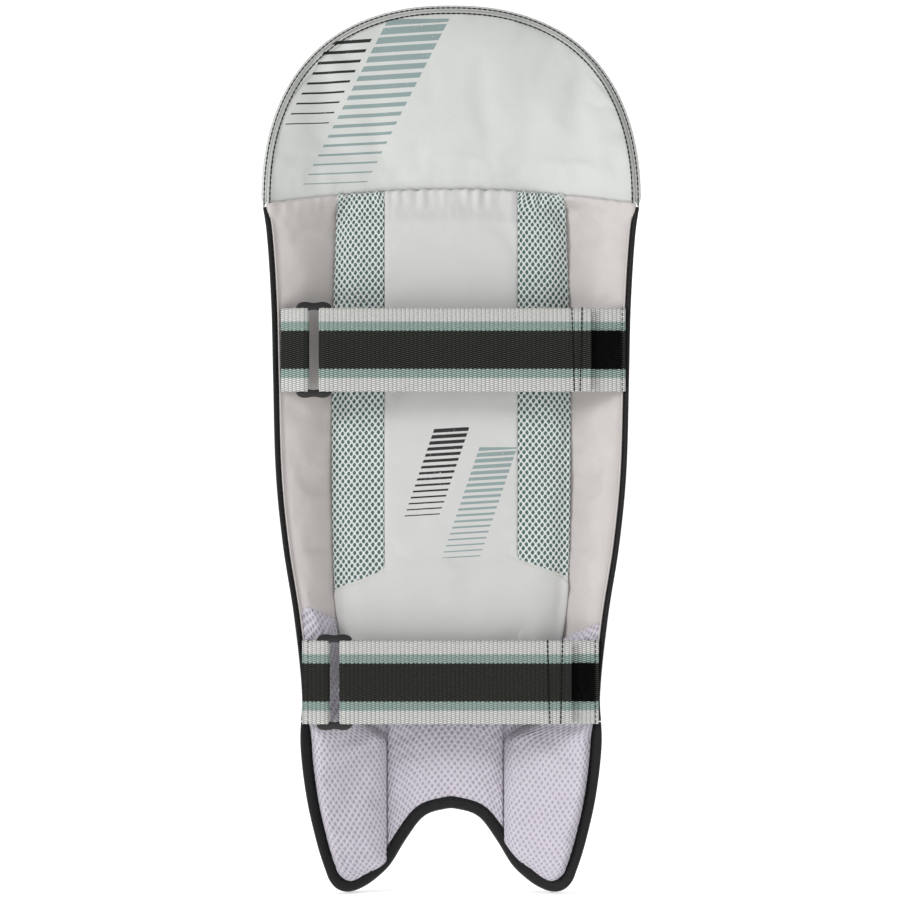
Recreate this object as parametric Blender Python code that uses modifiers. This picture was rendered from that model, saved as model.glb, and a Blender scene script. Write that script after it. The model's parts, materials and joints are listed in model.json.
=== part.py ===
"""Cricket leg pad of a wicket keeper's cut, standing upright.

Metres. +Z is up towards the knee, +Y the way the wearer faces, +X the wearer's right. The origin is the
middle of the bolster's leg face, which lies against the shin. Heights are measured from the lobe tips
and turned into Z at the end, in at().
"""

import math

import bmesh
import bpy
from mathutils import Matrix, Vector

# Overall sizes
PAD_HEIGHT = 0.580
PAD_WIDTH = 0.246
KNEE_FLAP_HEIGHT = 0.1225
INSTEP_HEIGHT = 0.1134
WING_SWEEP = 0.042  # how far a wing's edge comes back towards the leg
BOLSTER_DEPTH = 0.022
LEG_MOUNT_HEIGHT = 0.2920

FLAP_SEAM_HEIGHT = PAD_HEIGHT - KNEE_FLAP_HEIGHT  # in the middle of the pad
FLAP_SEAM_DROP = 0.0110  # how much lower the seam is at the corners
CORNER_BELOW_SEAM = 0.0035
CORNER_HEIGHT = FLAP_SEAM_HEIGHT - CORNER_BELOW_SEAM  # where the pad is widest
INSTEP_SEAM_HEIGHT = INSTEP_HEIGHT
BOLSTER_FOOT_GAP = 0.0090  # from the instep's seam up to the bolster
BOLSTER_FOOT = INSTEP_SEAM_HEIGHT + BOLSTER_FOOT_GAP
TOE_HEIGHT = 0.0116  # where the outline's sides meet its bottom edge
TOE_FLARE = 0.0120  # how far the instep leans forward over its height

# Outline: (share of the corner's height, share of the half-width), from the lobe tips to the widest corner
OUTLINE = (
    (0.000, 0.618),
    (0.038, 0.672),
    (0.073, 0.711),
    (0.140, 0.764),
    (0.220, 0.795),
    (0.286, 0.785),
    (0.396, 0.825),
    (0.502, 0.885),
    (0.605, 0.922),
    (0.748, 0.937),
    (0.846, 0.946),
    (0.946, 0.970),
    (1.000, 1.000),
)
# Bottom edge: (share of the half-width, share of the instep's height), from the arch to a lobe's outer corner
BOTTOM_EDGE = (
    (0.000, 0.481),
    (0.220, 0.432),
    (0.372, 0.291),
    (0.488, 0.155),
    (0.582, 0.086),
    (0.700, 0.027),
    (0.830, 0.000),
    (0.934, 0.027),
    (1.000, 0.090),
)
# Raised bolster: (share of the corner's height, share of the pad's half-width)
BOLSTER_OUTLINE = (
    (0.264, 0.505),
    (0.364, 0.590),
    (0.447, 0.628),
    (0.639, 0.642),
    (0.843, 0.634),
    (1.009, 0.614),
)
CENTRE_PANEL_WIDTH = 0.0860
DOME_ROUNDNESS = 2.3  # exponent of the knee flap's outline: 2 would be an ellipse

# Where the bolster's leg face falls back from flat
BOLSTER_SIDE_FALL = 0.0085
BOLSTER_FOOT_FALL = 0.0080
BOLSTER_FOOT_SLOPE = 0.0520
BOLSTER_SEAM_FALL = 0.0065
BOLSTER_SEAM_SLOPE = 0.0220
BOLSTER_LEAST_FOAM = 0.0015

# Knee flap: how far its faces stand from the back sheet
FLAP_EDGE_DEPTH = 0.0035
FLAP_CROWN = 0.0135
FLAP_ROLL = 0.0070
FLAP_ROLL_HEIGHT = 0.0220
FLAP_FRONT_DEPTH = 0.0060
FLAP_FRONT_CROWN = 0.0050

# Layers, as thicknesses
LINING = 0.0012
COVER = 0.0012
CLOTH = 0.0010
SHIN_FOAM = 0.0120
EDGE_FOAM = 0.0040
INSTEP_FOAM = 0.0080
LAYER_GAP = 0.0005
SEAM_GAP = 0.0012
SOFT_GAP = 0.0008
MESH_PAD_GAP = 0.0014

# Front of the shin
CANES = 7
CANE_DIAMETER = 0.008
CANE_CLEARANCE = 0.0004
CANE_END_GAP = 0.0040
RIB_SEAM = 0.0050  # what the stitching between two canes takes
RIB_PITCH = CANE_DIAMETER + RIB_SEAM
RIB_FACING_SPARE = 0.0006
KNEE_ROLL_HEIGHT = 0.0316
KNEE_ROLLS = 3
KNEE_ROLL_DEPTH = 0.020
KNEE_ROLL_BACK = 0.0020
KNEE_ROLLS_BELOW_SEAM = 0.0085
KNEE_ROLLS_FOOT_GAP = 0.0015
KNEE_ROLLS_MARGIN = 0.0369  # from a roll's end to the pad's widest edge

# Bindings and piping
BINDING_WIDTH = 0.0065
INSTEP_BINDING_WIDTH = 0.0080
BINDING_WALL = 0.0012
EDGE_CLEARANCE = 0.0006
INSTEP_EDGE_CLEARANCE = 0.0032
PIPING_DIAMETER = 0.0046
PIPING_GAP = 0.0003

# Straps
WEBBING_WIDTH = 0.054
WEBBING = 0.0015
FASTENER_WIDTH = 0.0247
LOOP_PILE = 0.0012
HOOK_TAPE = 0.0012
HOOK_LENGTH = 0.0124
STRAP_GAP = 0.0003
BAR = 0.0030
BAR_SPACING = 0.0140
BAR_CLEARANCE = 0.0003
BAR_LIFT = 0.0020  # how far the bars stand off the under-run's line
FOLD_LENGTH = 0.0100
FOLD_STRAIGHT = 0.0040
WEBBING_JOIN = 0.0006  # between the fold and the straight webbing
WEBBING_REST = 0.0004
TAB_LAYER_GAP = 0.0006
LOOP_END_GAP = 0.0030
HOOK_END_GAP = 0.0006
RING_EDGE_ROUNDING = 0.0002
RING_WIDTH = 0.0228
RING_END = 0.0036
RING_SIDE_CLEARANCE = 0.0004
# Height of each strap's middle, and how far inside the pad's edge its pieces start and end
STRAPS = {
    "upper": {"height": 0.3538, "tab": 0.0055, "ring": 0.0200, "run": 0.0029, "end": 0.0252, "pile": 0.0760},
    "lower": {"height": 0.1392, "tab": 0.0007, "ring": 0.0148, "run": 0.0016, "end": 0.0194, "pile": 0.0735},
}

# Mesh rolls on the leg side
ANKLE_ROLL_TOPS = {"left": 0.1868, "right": 0.1740}
ANKLE_ROLL_DEPTH = 0.010
INSTEP_ROLL_DEPTH = 0.013
CENTRE_PAD_DEPTH = 0.0060
MESH_PAD_EDGE = 0.0015
CENTRE_PAD_EDGE = 0.0020
ANKLE_ROLL_GAP = 0.0025
ANKLE_ROLL_EDGE_GAP = 0.0010
ANKLE_ROLL_TIP = 0.0040
CENTRE_PAD_SIDES = {"left": 0.0420, "right": 0.0345}

SHEET_Y = BOLSTER_DEPTH + LAYER_GAP + CLOTH
SHIN_HALF = CANES * RIB_PITCH / 2  # the middle of the pad is flat this far out
KNEE_ROLLS_TOP = FLAP_SEAM_HEIGHT - KNEE_ROLLS_BELOW_SEAM
SHIN_FACE_TOP = KNEE_ROLLS_TOP - KNEE_ROLLS * KNEE_ROLL_HEIGHT - KNEE_ROLLS_FOOT_GAP
KNEE_AXIS_Y = SHEET_Y + FLAP_FRONT_DEPTH + FLAP_FRONT_CROWN + LAYER_GAP
INSTEP_AXIS_Y = SHEET_Y + INSTEP_FOAM + LAYER_GAP + COVER + LAYER_GAP + BINDING_WALL + LAYER_GAP
ROW_HEIGHT = 0.0650
BODY_ROWS = math.ceil(PAD_HEIGHT / ROW_HEIGHT)

WHITE_LEATHER = (0.86, 0.86, 0.85)
OFF_WHITE_CLOTH = (0.78, 0.76, 0.72)
MESH_CLOTH = (0.70, 0.73, 0.71)
AIR_MESH = (0.76, 0.74, 0.79)
FOAM = (0.72, 0.70, 0.60)
CANE = (0.62, 0.45, 0.24)
BLACK_TAPE = (0.020, 0.020, 0.020)
BLACK_PLASTIC = (0.012, 0.012, 0.012)
WEBBING_COLOUR = (0.74, 0.74, 0.70)


def clear_scene():
    for thing in list(bpy.data.objects):
        bpy.data.objects.remove(thing)


def make_collection():
    pad = bpy.data.collections.new("cricket_leg_pad")
    bpy.context.scene.collection.children.link(pad)
    return pad


def spline(points, where):
    """The value at where of a smooth curve through (where, value) pairs, level outside them."""
    if where <= points[0][0]:
        return points[0][1]
    if where >= points[-1][0]:
        return points[-1][1]
    k = max(n for n in range(len(points) - 1) if points[n][0] <= where)
    (a, value_a), (b, value_b) = points[k], points[k + 1]

    def slope(n):
        low = points[max(n - 1, 0)]
        high = points[min(n + 1, len(points) - 1)]
        return (high[1] - low[1]) / (high[0] - low[0])

    t = (where - a) / (b - a)
    rise = (2 * t**3 - 3 * t**2 + 1) * value_a + (3 * t**2 - 2 * t**3) * value_b
    return rise + (b - a) * ((t**3 - 2 * t**2 + t) * slope(k) + (t**3 - t**2) * slope(k + 1))


def between(low, high, share):
    return low + (high - low) * share


def ramp(value, start, end):
    """0 at start, 1 at end, eased at both."""
    t = min(1.0, max(0.0, (value - start) / (end - start)))
    return t * t * (3 - 2 * t)


def half_width(height):
    return PAD_WIDTH / 2 * spline(OUTLINE, height / CORNER_HEIGHT)


def bolster_half_width(height):
    return PAD_WIDTH / 2 * spline(BOLSTER_OUTLINE, height / CORNER_HEIGHT)


def flap_seam(x):
    """Height of the seam under the knee flap."""
    return FLAP_SEAM_HEIGHT - FLAP_SEAM_DROP * (x / (PAD_WIDTH / 2)) ** 2


def outward(x, height):
    """0 where the pad is flat, 1 at its side edge."""
    edge = half_width(min(height, CORNER_HEIGHT))
    return max(0.0, (abs(x) - SHIN_HALF) / (edge - SHIN_HALF))


def sheet_y(x, height):
    """Y of the back sheet, which every layer is measured from."""
    sweep = WING_SWEEP
    sweep *= 1 - 0.12 * ramp(height, between(INSTEP_SEAM_HEIGHT, CORNER_HEIGHT, 0.43), INSTEP_SEAM_HEIGHT)
    sweep *= 1 - 0.50 * ramp(height, CORNER_HEIGHT, PAD_HEIGHT)
    sweep *= 1 - 0.40 * ramp(height, INSTEP_SEAM_HEIGHT, 0)
    flare = TOE_FLARE * ramp(height, INSTEP_SEAM_HEIGHT, -INSTEP_SEAM_HEIGHT)
    return SHEET_Y - sweep * outward(x, height) ** 1.5 + flare


def foam_front(x, height):
    """Y of the front face of the shin and wing foam."""
    depth = between(SHIN_FOAM, EDGE_FOAM, min(1.0, outward(x, height)))
    return sheet_y(x, height) + LAYER_GAP + depth


def at(x, y, height):
    return Vector((x, y, height - LEG_MOUNT_HEIGHT))


def material(name, colour, roughness):
    made = bpy.data.materials.new(name)
    made.use_nodes = True
    shader = made.node_tree.nodes["Principled BSDF"]
    shader.inputs["Base Color"].default_value = (*colour, 1)
    shader.inputs["Roughness"].default_value = roughness
    made.diffuse_color = (*colour, 1)
    return made


def link(thing, colour, roughness, pivot):
    """Puts a finished object in the pad's collection, with its origin on its joint's axis."""
    if pivot is not None:
        thing.data.transform(Matrix.Translation(-pivot))
        thing.location = pivot
    thing.data.materials.append(material(thing.name, colour, roughness))
    PAD.objects.link(thing)
    return thing


def face_out(cells):
    """Turns the faces of a closed piece outwards."""
    if cells.calc_volume(signed=True) < 0:
        bmesh.ops.reverse_faces(cells, faces=cells.faces[:])


def board(name, columns, rows, place, colour, roughness=0.6, pivot=None):
    """A board of columns by rows cells, one cell thick, whose corners are moved to place(u, v, side).

    u and v run from 0 to 1, and side is 0 or 1. place gives (x, y, height).
    """
    cells = bmesh.new()
    bmesh.ops.create_grid(cells, x_segments=columns, y_segments=rows, size=0.5)
    raised = bmesh.ops.extrude_face_region(cells, geom=cells.faces[:])["geom"]
    corners = [item for item in raised if isinstance(item, bmesh.types.BMVert)]
    bmesh.ops.translate(cells, vec=(0, 0, 1), verts=corners)
    for corner in cells.verts:
        u = round((corner.co.x + 0.5) * columns) / columns
        v = round((corner.co.y + 0.5) * rows) / rows
        corner.co = at(*place(u, v, round(corner.co.z)))
    face_out(cells)
    mesh = bpy.data.meshes.new(name)
    cells.to_mesh(mesh)
    cells.free()
    return link(bpy.data.objects.new(name, mesh), colour, roughness, pivot)


def edge_channel(name, outline, width, gap, leg, front, colour, pivot=None):
    """A folded tape that closes round an edge. outline is (x, height) pairs, inside on the left.

    leg(x, height) and front(x, height) are the Y of the faces that the tape lies on, gap away.
    """
    count = len(outline) - 1

    def place(u, v, side):
        n = round(u * count)
        before, after = outline[max(n - 1, 0)], outline[min(n + 1, count)]
        run_x, run_h = after[0] - before[0], after[1] - before[1]
        length = math.hypot(run_x, run_h)
        row = round(v * 3)
        depth = (width, BINDING_WALL * side, BINDING_WALL * side, width)[row]
        x = outline[n][0] - run_h / length * depth
        height = outline[n][1] + run_x / length * depth
        out = gap + BINDING_WALL * (1 - side)
        y = leg(x, height) - out if row < 2 else front(x, height) + out
        return x, y, height

    return board(name, count, 3, place, colour, 0.8, pivot)


def strip(name, path, low, high, thickness, colour, roughness=0.8, pivot=None):
    """A flat tape on edge: path is (x, y) pairs down its middle, low and high its two heights."""
    count = len(path) - 1

    def place(u, v, side):
        n = round(u * count)
        along = Vector(path[min(n + 1, count)]) - Vector(path[max(n - 1, 0)])
        along.normalize()
        offset = (side - 0.5) * thickness
        x = path[n][0] - along.y * offset
        y = path[n][1] + along.x * offset
        return x, y, between(low, high, v)

    return board(name, count, 1, place, colour, roughness, pivot)


def wing_edge(height):
    """X of the outer edge of the wing's layers, inside the binding."""
    return half_width(height) - BINDING_WALL - EDGE_CLEARANCE


def wing_spot(side, inner, u, v, bottom):
    """(x, height) on a wing between inner and its edge, with v from bottom to the flap seam."""
    edge_height = between(bottom, flap_seam(PAD_WIDTH / 2) - SEAM_GAP / 2, v)
    x = between(inner, wing_edge(edge_height), u)
    top = flap_seam(x) - SEAM_GAP / 2
    return side * x, between(bottom, top, v)


def make_wings():
    bottom = INSTEP_SEAM_HEIGHT + SEAM_GAP / 2
    inner = SHIN_HALF + LAYER_GAP * 2
    for name, side in (("left", -1), ("right", 1)):

        def lining(u, v, face, side=side):
            x, height = wing_spot(side, inner, u, v, bottom)
            return x, sheet_y(x, height) - LINING * (1 - face), height

        def foam(u, v, face, side=side):
            x, height = wing_spot(side, inner, u, v, bottom)
            y = foam_front(x, height) if face else sheet_y(x, height) + LAYER_GAP
            return x, y, height

        def cover(u, v, face, side=side):
            x, height = wing_spot(side, inner, u, v, bottom)
            return x, foam_front(x, height) + LAYER_GAP + COVER * face, height

        board(name + "_wing_lining", 4, BODY_ROWS, lining, OFF_WHITE_CLOTH)
        board(name + "_wing_foam", 4, BODY_ROWS, foam, FOAM, 0.9)
        board(name + "_wing_cover", 4, BODY_ROWS, cover, WHITE_LEATHER, 0.45)
        make_side_binding(name, side, bottom)


def make_side_binding(name, side, bottom):
    top = flap_seam(PAD_WIDTH / 2) - SEAM_GAP / 2
    heights = [between(bottom, top, n / BODY_ROWS) for n in range(BODY_ROWS + 1)]
    outline = [(side * half_width(height), height) for height in heights]
    if side < 0:
        outline.reverse()
    edge_channel(
        name + "_edge_binding",
        outline,
        BINDING_WIDTH,
        LAYER_GAP,
        lambda x, height: sheet_y(x, height) - LINING,
        lambda x, height: foam_front(x, height) + LAYER_GAP + COVER,
        BLACK_TAPE,
    )


def bolster_y(x, height):
    """Y of the bolster's leg face."""
    half = bolster_half_width(height)
    side = BOLSTER_SIDE_FALL * max(0.0, (abs(x) - 0.72 * half) / (0.28 * half)) ** 2
    foot = BOLSTER_FOOT_FALL * ramp(height, BOLSTER_FOOT + BOLSTER_FOOT_SLOPE, BOLSTER_FOOT) ** 1.5
    seam = BOLSTER_SEAM_FALL * ramp(height, flap_seam(x) - BOLSTER_SEAM_SLOPE, flap_seam(x))
    least = LINING + SOFT_GAP + BOLSTER_LEAST_FOAM + SOFT_GAP + CLOTH
    return min(side + foot + seam, sheet_y(x, height) - least)


def make_bolster():
    def foam(u, v, face):
        reach = 0.90 * bolster_half_width(between(BOLSTER_FOOT, FLAP_SEAM_HEIGHT, v))
        x = between(-reach, reach, u)
        height = between(BOLSTER_FOOT, flap_seam(x) - SEAM_GAP / 2, v)
        if face:
            return x, sheet_y(x, height) - LINING - SOFT_GAP, height
        return x, bolster_y(x, height) + CLOTH + SOFT_GAP, height

    board("bolster_foam", 12, BODY_ROWS, foam, FOAM, 0.9)
    split = CENTRE_PANEL_WIDTH / 2
    rim = 0.985

    def panel_edges(name, height):
        half = bolster_half_width(height)
        seam = min(split, 0.62 * half)
        if name == "bolster_centre_panel":
            return -seam + SEAM_GAP / 4, seam - SEAM_GAP / 4
        low, high = seam + SEAM_GAP / 4, rim * half
        return (-high, -low) if name == "bolster_mesh_left" else (low, high)

    for name in ("bolster_mesh_left", "bolster_centre_panel", "bolster_mesh_right"):

        def panel(u, v, face, name=name):
            low, high = panel_edges(name, between(BOLSTER_FOOT, FLAP_SEAM_HEIGHT, v))
            x = between(low, high, u)
            height = between(BOLSTER_FOOT, flap_seam(x) - SEAM_GAP / 2, v)
            return x, bolster_y(x, height) + CLOTH * face, height

        colour = WHITE_LEATHER if name == "bolster_centre_panel" else MESH_CLOTH
        board(name, 4, BODY_ROWS, panel, colour)


def make_shin():
    bottom = INSTEP_SEAM_HEIGHT + SEAM_GAP / 2
    half = SHIN_HALF

    def foam(u, v, face):
        x = between(-half, half, u)
        height = between(bottom, flap_seam(x) - SEAM_GAP / 2, v)
        y = foam_front(x, height) if face else sheet_y(x, height) + LAYER_GAP
        return x, y, height

    board("shin_foam", 10, 5, foam, FOAM, 0.9)

    rib_rise = CANE_DIAMETER + 2 * CANE_CLEARANCE + RIB_FACING_SPARE
    steps = 4 * CANES

    def facing(u, v, face):
        x = between(-half, half, u)
        height = between(bottom, SHIN_FACE_TOP, v)
        bulge = abs(math.cos(math.pi * x / RIB_PITCH)) ** 0.5
        y = foam_front(x, height) + LAYER_GAP + rib_rise * bulge + COVER * face
        return x, y, height

    board("shin_facing", steps, 4, facing, WHITE_LEATHER, 0.45)

    for n in range(CANES):
        x = (n - (CANES - 1) / 2) * RIB_PITCH
        length = SHIN_FACE_TOP - bottom - 2 * CANE_END_GAP
        radius = CANE_DIAMETER / 2
        stick = bmesh.new()
        bmesh.ops.create_cone(
            stick, cap_ends=True, segments=10, radius1=radius, radius2=radius, depth=length
        )
        middle = (bottom + SHIN_FACE_TOP) / 2
        back = max(foam_front(x + step, middle) for step in (-radius, 0, radius))
        stick_mesh = bpy.data.meshes.new("cane")
        bmesh.ops.translate(stick, vec=at(x, back + CANE_CLEARANCE + radius, middle), verts=stick.verts[:])
        stick.to_mesh(stick_mesh)
        stick.free()
        link(bpy.data.objects.new("cane_%d" % (n + 1), stick_mesh), CANE, 0.6, None)


def make_knee_rolls():
    reach = PAD_WIDTH / 2 - KNEE_ROLLS_MARGIN
    for n in range(KNEE_ROLLS):
        bottom = KNEE_ROLLS_TOP - KNEE_ROLL_HEIGHT * (KNEE_ROLLS - n)

        def roll(u, v, face, bottom=bottom):
            x = between(-reach, reach, u)
            height = between(bottom, bottom + KNEE_ROLL_HEIGHT - SEAM_GAP, v)
            back = foam_front(x, height) + LAYER_GAP + COVER + 2 * SOFT_GAP
            if not face:
                return x, back, height
            swell = math.sqrt(max(0.0, 1 - (2 * v - 1) ** 2)) * (1 - abs(2 * u - 1) ** 6)
            return x, back + KNEE_ROLL_BACK + KNEE_ROLL_DEPTH * swell, height

        board("knee_roll_%d" % (n + 1), 10, 4, roll, WHITE_LEATHER, 0.45)


def dome_spot(u, v, inset):
    """(x, height, reach) on the knee flap: u turns from the seam's right end, v goes out from the middle."""
    turn = math.pi * u
    reach = v * (1 - inset / (PAD_WIDTH / 2))
    power = 2 / DOME_ROUNDNESS
    width = math.copysign(max(0.0, abs(math.cos(turn)) - 1e-9) ** power, math.cos(turn))
    rise = max(0.0, math.sin(turn) - 1e-9) ** power
    x = width * reach * PAD_WIDTH / 2
    drop = FLAP_SEAM_DROP * (x / (PAD_WIDTH / 2)) ** 2 * (1 - math.sin(turn)) ** 1.5
    return x, FLAP_SEAM_HEIGHT + rise * reach * KNEE_FLAP_HEIGHT - drop, reach


def flap_leg_y(x, height, reach):
    rise = height - flap_seam(x)
    crown = FLAP_CROWN * (1 - reach**2.5)
    roll = FLAP_ROLL * (1 - reach**2) * ramp(rise, 0, FLAP_ROLL_HEIGHT)
    return sheet_y(x, height) - FLAP_EDGE_DEPTH - crown - roll


def flap_front_y(x, height, reach):
    return sheet_y(x, height) + FLAP_FRONT_DEPTH + FLAP_FRONT_CROWN * (1 - reach**3)


def make_knee_flap():
    pivot = at(0, KNEE_AXIS_Y, FLAP_SEAM_HEIGHT)
    inset = PIPING_DIAMETER + PIPING_GAP

    def layer(leg_share):
        """leg_share gives the Y of a layer's two faces from the flap's leg and front faces."""

        def place(u, v, face):
            x, height, reach = dome_spot(u, v, inset)
            y = leg_share(flap_leg_y(x, height, reach), flap_front_y(x, height, reach), face)
            return x, y, height + SEAM_GAP / 2

        return place

    layers = (
        ("knee_flap_cover", lambda leg, front, face: leg + COVER * face, WHITE_LEATHER, 0.45),
        (
            "knee_flap_foam",
            lambda leg, front, face: front - COVER - LAYER_GAP if face else leg + COVER + LAYER_GAP,
            FOAM,
            0.9,
        ),
        ("knee_flap_facing", lambda leg, front, face: front - COVER * (1 - face), WHITE_LEATHER, 0.45),
    )
    for name, share, colour, roughness in layers:
        weld_centre(board(name, 14, 5, layer(share), colour, roughness, pivot))

    count = 20
    curve = bpy.data.curves.new("knee_flap_piping", "CURVE")
    curve.dimensions = "3D"
    curve.bevel_depth = PIPING_DIAMETER / 2
    curve.bevel_resolution = 1
    curve.use_fill_caps = True
    rope = curve.splines.new("POLY")
    rope.points.add(count)
    for n in range(count + 1):
        x, height, reach = dome_spot(n / count, 1.0, PIPING_DIAMETER / 2)
        y = (flap_leg_y(x, height, reach) + flap_front_y(x, height, reach)) / 2
        spot = at(x, y, height + SEAM_GAP / 2) - pivot
        rope.points[n].co = (*spot, 1)
    curve.materials.append(material("knee_flap_piping", WHITE_LEATHER, 0.4))
    piping = bpy.data.objects.new("knee_flap_piping", curve)
    piping.location = pivot
    PAD.objects.link(piping)


def weld_centre(thing):
    """Joins the corners that meet at the middle of the flap's seam."""
    cells = bmesh.new()
    cells.from_mesh(thing.data)
    bmesh.ops.remove_doubles(cells, verts=cells.verts[:], dist=1e-6)
    cells.to_mesh(thing.data)
    cells.free()


def bottom_edge(x):
    """Height of the pad's bottom edge."""
    return INSTEP_HEIGHT * spline(BOTTOM_EDGE, abs(x) / half_width(TOE_HEIGHT))


def inset_bottom(x, inset):
    """Height of a line that stays this far inside the bottom edge."""
    best = 0.0
    for n in range(-8, 9):
        step = inset * n / 8
        best = max(best, bottom_edge(x + step) + math.sqrt(max(0.0, inset**2 - step**2)))
    return best


def instep_spot(u, v, inset, inner=None):
    """(x, height) on the instep, this far inside its edges. It starts at x = inner, or at the left edge."""
    toe = half_width(TOE_HEIGHT) - inset
    bottom = inset_bottom(between(-toe if inner is None else inner, toe, u), inset)
    height = between(bottom, INSTEP_SEAM_HEIGHT - SEAM_GAP / 2, v)
    outer = half_width(height) - inset
    return between(-outer if inner is None else inner, outer, u), height


def instep_outline():
    """(x, height) pairs down the right side, along the bottom and up the left side."""
    top = INSTEP_SEAM_HEIGHT - SEAM_GAP / 2
    corner = bottom_edge(half_width(TOE_HEIGHT))
    side = [between(top, corner, n / 6) for n in range(6)]
    right = [(half_width(height), height) for height in side]
    under = []
    for n in range(2, 25):
        share = math.cos(math.pi * n / 26)
        share = math.copysign(abs(share) ** 0.85, share) if n != 13 else 0.0
        height = bottom_edge(share * half_width(TOE_HEIGHT))
        under.append((share * half_width(TOE_HEIGHT), height))
    left = [(-x, height) for x, height in reversed(right)]
    return right + under + left


def make_instep():
    pivot = at(0, INSTEP_AXIS_Y, INSTEP_SEAM_HEIGHT)
    inset = BINDING_WALL + INSTEP_EDGE_CLEARANCE

    def foam(u, v, face):
        x, height = instep_spot(u, v, inset)
        return x, sheet_y(x, height) + (INSTEP_FOAM if face else 0), height

    def cover(u, v, face):
        x, height = instep_spot(u, v, inset)
        return x, sheet_y(x, height) + INSTEP_FOAM + LAYER_GAP + COVER * face, height

    board("instep_foam", 20, 4, foam, FOAM, 0.9, pivot)
    board("instep_cover", 20, 4, cover, WHITE_LEATHER, 0.45, pivot)
    outline = instep_outline()
    outline.reverse()
    edge_channel(
        "instep_binding",
        outline,
        INSTEP_BINDING_WIDTH,
        SOFT_GAP,
        sheet_y,
        lambda x, height: sheet_y(x, height) + INSTEP_FOAM + LAYER_GAP + COVER,
        BLACK_TAPE,
        pivot,
    )
    clear = INSTEP_BINDING_WIDTH + 2.5 * SOFT_GAP
    for name, side in (("left", -1), ("right", 1)):
        inner = CENTRE_PAD_SIDES[name] + SEAM_GAP / 2

        def roll(u, v, face, side=side, inner=inner):
            x, height = instep_spot(u, v, clear, inner)
            back = sheet_y(x, height) - MESH_PAD_GAP
            if face:
                return side * x, back, height
            swell = math.sqrt(max(0.0, 1 - (2 * u - 1) ** 4)) * (1 - (1 - v) ** 4) ** 0.5
            return side * x, back - MESH_PAD_EDGE - INSTEP_ROLL_DEPTH * swell, height

        board(name + "_instep_roll", 5, 5, roll, AIR_MESH, 0.9, pivot)

    def centre(u, v, face):
        x = between(-CENTRE_PAD_SIDES["left"] + SEAM_GAP / 2, CENTRE_PAD_SIDES["right"] - SEAM_GAP / 2, u)
        bottom = inset_bottom(x, clear + SOFT_GAP)
        height = between(bottom, INSTEP_SEAM_HEIGHT - SEAM_GAP / 2, v)
        back = sheet_y(x, height) - SOFT_GAP
        swell = (1 - (2 * u - 1) ** 4) * (1 - (1 - v) ** 4)
        return x, back - (1 - face) * (CENTRE_PAD_EDGE + CENTRE_PAD_DEPTH * swell), height

    board("instep_centre_pad", 6, 4, centre, AIR_MESH, 0.9, pivot)


def make_ankle_rolls():
    for name, side in (("left", -1), ("right", 1)):
        top = ANKLE_ROLL_TOPS[name]
        bottom = INSTEP_SEAM_HEIGHT + SEAM_GAP / 2

        def roll(u, v, face, side=side, top=top, bottom=bottom):
            height = between(bottom, top, v)
            inner = bolster_half_width(height) + ANKLE_ROLL_GAP
            outer = half_width(height) - BINDING_WIDTH - ANKLE_ROLL_EDGE_GAP
            x = between(inner, between(outer, inner + ANKLE_ROLL_TIP, 0.35 * v**6), u)
            back = sheet_y(x, height) - LINING - MESH_PAD_GAP
            if face:
                return side * x, back, height
            swell = math.sqrt(max(0.0, 1 - (2 * u - 1) ** 4)) * (1 - v**4) ** 0.5
            return side * x, back - MESH_PAD_EDGE - ANKLE_ROLL_DEPTH * swell, height

        board(name + "_ankle_roll", 4, 5, roll, AIR_MESH, 0.9)


def leg_surface(x, centre, over_binding):
    """The most leg-side Y of the wing across the width of a strap at x."""
    heights = [centre + WEBBING_WIDTH * n / 8 for n in range(-4, 5)]
    lowest = min(sheet_y(x, max(height, INSTEP_SEAM_HEIGHT)) for height in heights) - LINING
    return lowest - (LAYER_GAP + BINDING_WALL if over_binding else 0)


def arc(centre_x, centre_y, radius, start, end, steps):
    spots = []
    for n in range(steps + 1):
        angle = math.radians(between(start, end, n / steps))
        spots.append((centre_x + radius * math.cos(angle), centre_y + radius * math.sin(angle)))
    return spots


def strap_layout(name):
    """The positions that a strap's pieces share."""
    strap = STRAPS[name]
    centre = strap["height"]
    half = half_width(centre)
    lay = {"centre": centre, "low": centre - WEBBING_WIDTH / 2, "high": centre + WEBBING_WIDTH / 2}
    lay["tab_x"] = strap["tab"] - half
    lay["run_x"] = half - strap["run"]
    lay["end_x"] = half - strap["end"]
    lay["pile_x"] = lay["run_x"] - strap["pile"]
    lay["left_bar"] = strap["ring"] - half
    lay["right_bar"] = lay["left_bar"] + BAR_SPACING
    tab_over = abs(lay["tab_x"]) > half - BINDING_WIDTH - WEBBING
    lay["tab_y"] = leg_surface(lay["tab_x"], centre, tab_over) - STRAP_GAP - WEBBING_REST - WEBBING / 2
    lay["run_y"] = leg_surface(lay["run_x"], centre, True) - STRAP_GAP - WEBBING_REST - WEBBING / 2
    lay["bar_y"] = lay["run_y"] - BAR_LIFT
    lay["loop"] = BAR * math.sqrt(0.5) + BAR_CLEARANCE + WEBBING / 2
    lay["stack"] = WEBBING + LOOP_PILE + HOOK_TAPE + 3 * STRAP_GAP
    lay["left_pivot"] = at(lay["left_bar"], lay["bar_y"], centre)
    lay["right_pivot"] = at(lay["right_bar"], lay["bar_y"], centre)
    return lay


def run_y(lay, x):
    """Y of the middle of the under-run."""
    share = (x - lay["right_bar"]) / (lay["run_x"] - lay["right_bar"])
    return between(lay["bar_y"] + lay["loop"], lay["run_y"], share)


def end_y(lay, x):
    """Y of the middle of the free end, which lies on the under-run."""
    share = (x - lay["right_bar"]) / (lay["end_x"] - lay["right_bar"])
    return between(lay["bar_y"] - lay["loop"], run_y(lay, lay["end_x"]) - lay["stack"], min(1.0, share * 1.6))


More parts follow.
